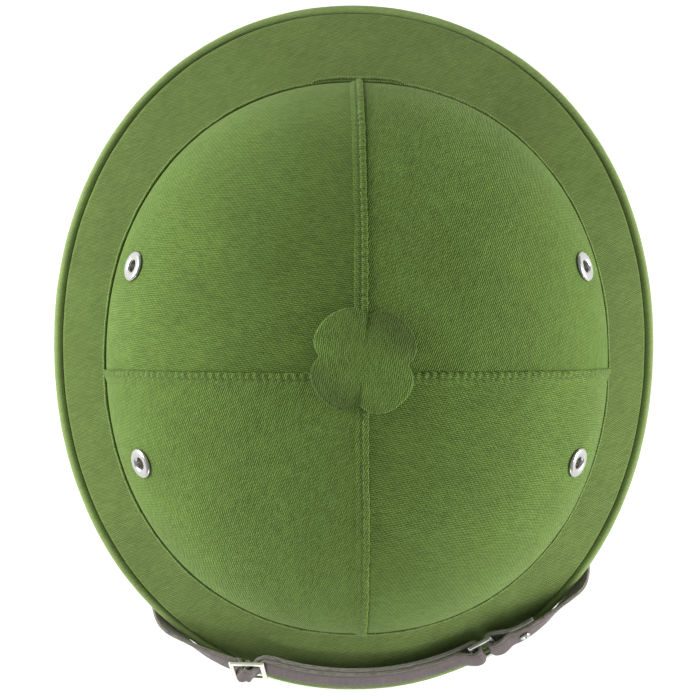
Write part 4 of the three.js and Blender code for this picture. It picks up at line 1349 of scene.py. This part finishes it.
STUD_HEAD = 2.5
STUD_SHANK = 1.1
STUD_LENGTH = 2 * STRAP_THICKNESS + 2 * GAP
STUD_FRAME = strap_frame(STUD_PLACE, STRAP_THICKNESS / 2 + GAP)
STUD_HOLE = (STUD_FRAME, STUD_SHANK + HOLE_ROOM, -6, 3)


def stud_piece():
    """A small hollow rivet: a rolled ring round a hole."""
    profile = [[0.45, -STUD_LENGTH], [STUD_SHANK, -STUD_LENGTH], [STUD_SHANK, -0.1], [STUD_HEAD - 0.3, -0.1]]
    profile += rolled_edge(1.65, 0.85, 0.1, 1.1, 10)
    profile += [[0.7, -0.4], [0.45, -1.2]]
    return lathe("strap_stud", profile, STUD_FRAME, 40, EYELET_METAL)


ANCHOR_HEAD = 4
ANCHOR_HEAD_HEIGHT = 1.2
ANCHOR_SHANK = 1.6
ANCHOR_LENGTH = SHELL_WALL + STRAP_THICKNESS + 3 * GAP
ANCHOR_DRILL_REACH = 4


def anchor_frame(side):
    wall, level = anchor_at(side)
    return frame_at(wall - level * (ANCHOR_SET_IN + STRAP_THICKNESS / 2 + GAP), -level)


def anchor_hole(side):
    return anchor_frame(side), ANCHOR_SHANK + HOLE_ROOM, -ANCHOR_DRILL_REACH, ANCHOR_DRILL_REACH


def anchor_piece(name, side):
    profile = [[0, -ANCHOR_LENGTH], [ANCHOR_SHANK, -ANCHOR_LENGTH], [ANCHOR_SHANK, -0.1],
               [ANCHOR_HEAD, -0.1], [ANCHOR_HEAD, 0.3], [ANCHOR_HEAD - 0.25, 0.6],
               [ANCHOR_HEAD - 0.9, 0.95], [ANCHOR_HEAD / 2, ANCHOR_HEAD_HEIGHT],
               [0, ANCHOR_HEAD_HEIGHT + 0.05]]
    return lathe(name, profile, anchor_frame(side), 40, BUCKLE_METAL)


# Build and dress the pieces

PANEL_SIDES = named_rows(
    "corner first last",
    ("back_left", "left", "back"),
    ("back_right", "back", "right"),
    ("front_right", "right", "front"),
    ("front_left", "front", "left"),
)
EYELET_HOLES = {row["corner"]: eyelet_hole(row) for row in EYELETS}
LAPS = {side: seam_lap(side) for side in SEAMS}

for row in PANEL_SIDES:
    node = "crown_panel_" + row["corner"]
    quarter = crown_panel(node, row["first"], row["last"])
    drilled(quarter, [EYELET_HOLES[row["corner"]]])
    joined(quarter, [LAPS[side] for side, seam in SEAMS.items() if seam["panel"] == node])
    quarter.name = "crown_cloth_" + row["corner"]
    quarter.data.shade_smooth()
    dress(quarter, "crown_cloth", node)

dress(stitches(), "crown_cloth")
for row in EYELETS:
    dress(eyelet(row), "bright_metal", "eyelet_" + row["corner"])
dress(shell_piece(), "shell_fibre", "shell")
dress(brim_cover_piece(), "brim_cloth", "brim_cover")
dress(rim_piece(), "brim_cloth", "rim_binding")
dress(band_piece(), "brim_cloth", "hatband")
dress(tab_piece(), "brim_cloth", "band_tab")
dress(button_piece(), "crown_cloth", "button")
dress(post_piece(), "bright_metal", "button_post")

long_strap = strap_piece("chin_strap_long", long_strap_rows(), 1, [anchor_hole(-1)])
dress(long_strap, "strap_leather", "strap_long")
short_strap = strap_piece("chin_strap_short", short_strap_rows(), -1, [anchor_hole(1), STUD_HOLE])
dress(short_strap, "strap_leather", "strap_short")
dress(slider_piece(), "bright_metal", "slider")
dress(link_piece(), "bright_metal", "link")
dress(stud_piece(), "bright_metal", "stud")
dress(anchor_piece("strap_rivet_right_head", -1), "bright_metal", "strap_rivet_right")
dress(anchor_piece("strap_rivet_left_head", 1), "bright_metal", "strap_rivet_left")


# Floor, light and camera

FLOOR_HALF = 9000


def floor():
    lines = np.linspace(-FLOOR_HALF, FLOOR_HALF, 5)
    points = [[x, y, 0.0] for y in lines for x in lines]
    corners = [5 * row + column for row in range(4) for column in range(4)]
    faces = [[corner, corner + 1, corner + 6, corner + 5] for corner in corners]
    new_object("floor", points, faces, materials=[floor_paper("floor_paper")])


def area_light(name, place, size, power):
    lamp = bpy.data.lights.new(name, "AREA")
    lamp.shape = "RECTANGLE"
    lamp.size = size[0]
    lamp.size_y = size[1]
    lamp.energy = power
    holder = linked_object(name, lamp)
    holder.location = place
    holder.rotation_euler = (LIT_PLACE - holder.location).to_track_quat("-Z", "Y").to_euler()


CAMERA_PLACE = Vector((-0.034, 0.012, 1.1))
CAMERA_TARGET = Vector((-0.0016, -0.0009, 0.0))
FRAME_WIDTH = 0.3126
SENSOR_WIDTH = 36
LIT_PLACE = Vector((0.0, 0.0, 0.05))


def camera():
    lens = bpy.data.cameras.new("camera")
    lens.sensor_width = SENSOR_WIDTH
    lens.sensor_height = SENSOR_WIDTH
    lens.lens = SENSOR_WIDTH * CAMERA_PLACE.z / FRAME_WIDTH
    forward = (CAMERA_TARGET - CAMERA_PLACE).normalized()
    side = forward.cross(Vector((0.0, 1.0, 0.0))).normalized()
    turned = Matrix((side, side.cross(forward), -forward)).transposed().to_4x4()
    holder = linked_object("camera", lens)
    holder.matrix_world = Matrix.Translation(CAMERA_PLACE) @ turned
    bpy.context.scene.camera = holder


def world():
    sky = bpy.data.worlds.new("studio")
    sky.use_nodes = True
    ground = sky.node_tree.nodes["Background"]
    ground.inputs["Color"].default_value = (1.0, 1.0, 1.0, 1.0)
    ground.inputs["Strength"].default_value = 0.35
    bpy.context.scene.world = sky


floor()
world()
area_light("left_light", (-1.22, 0.28, 0.32), (0.9, 0.5), 25)
area_light("right_light", (1.27, -0.04, 0.32), (0.8, 0.5), 22)
area_light("front_light", (0.0, -1.35, 0.4), (1.2, 0.5), 8)
camera()
bpy.context.scene.view_settings.view_transform = "Standard"
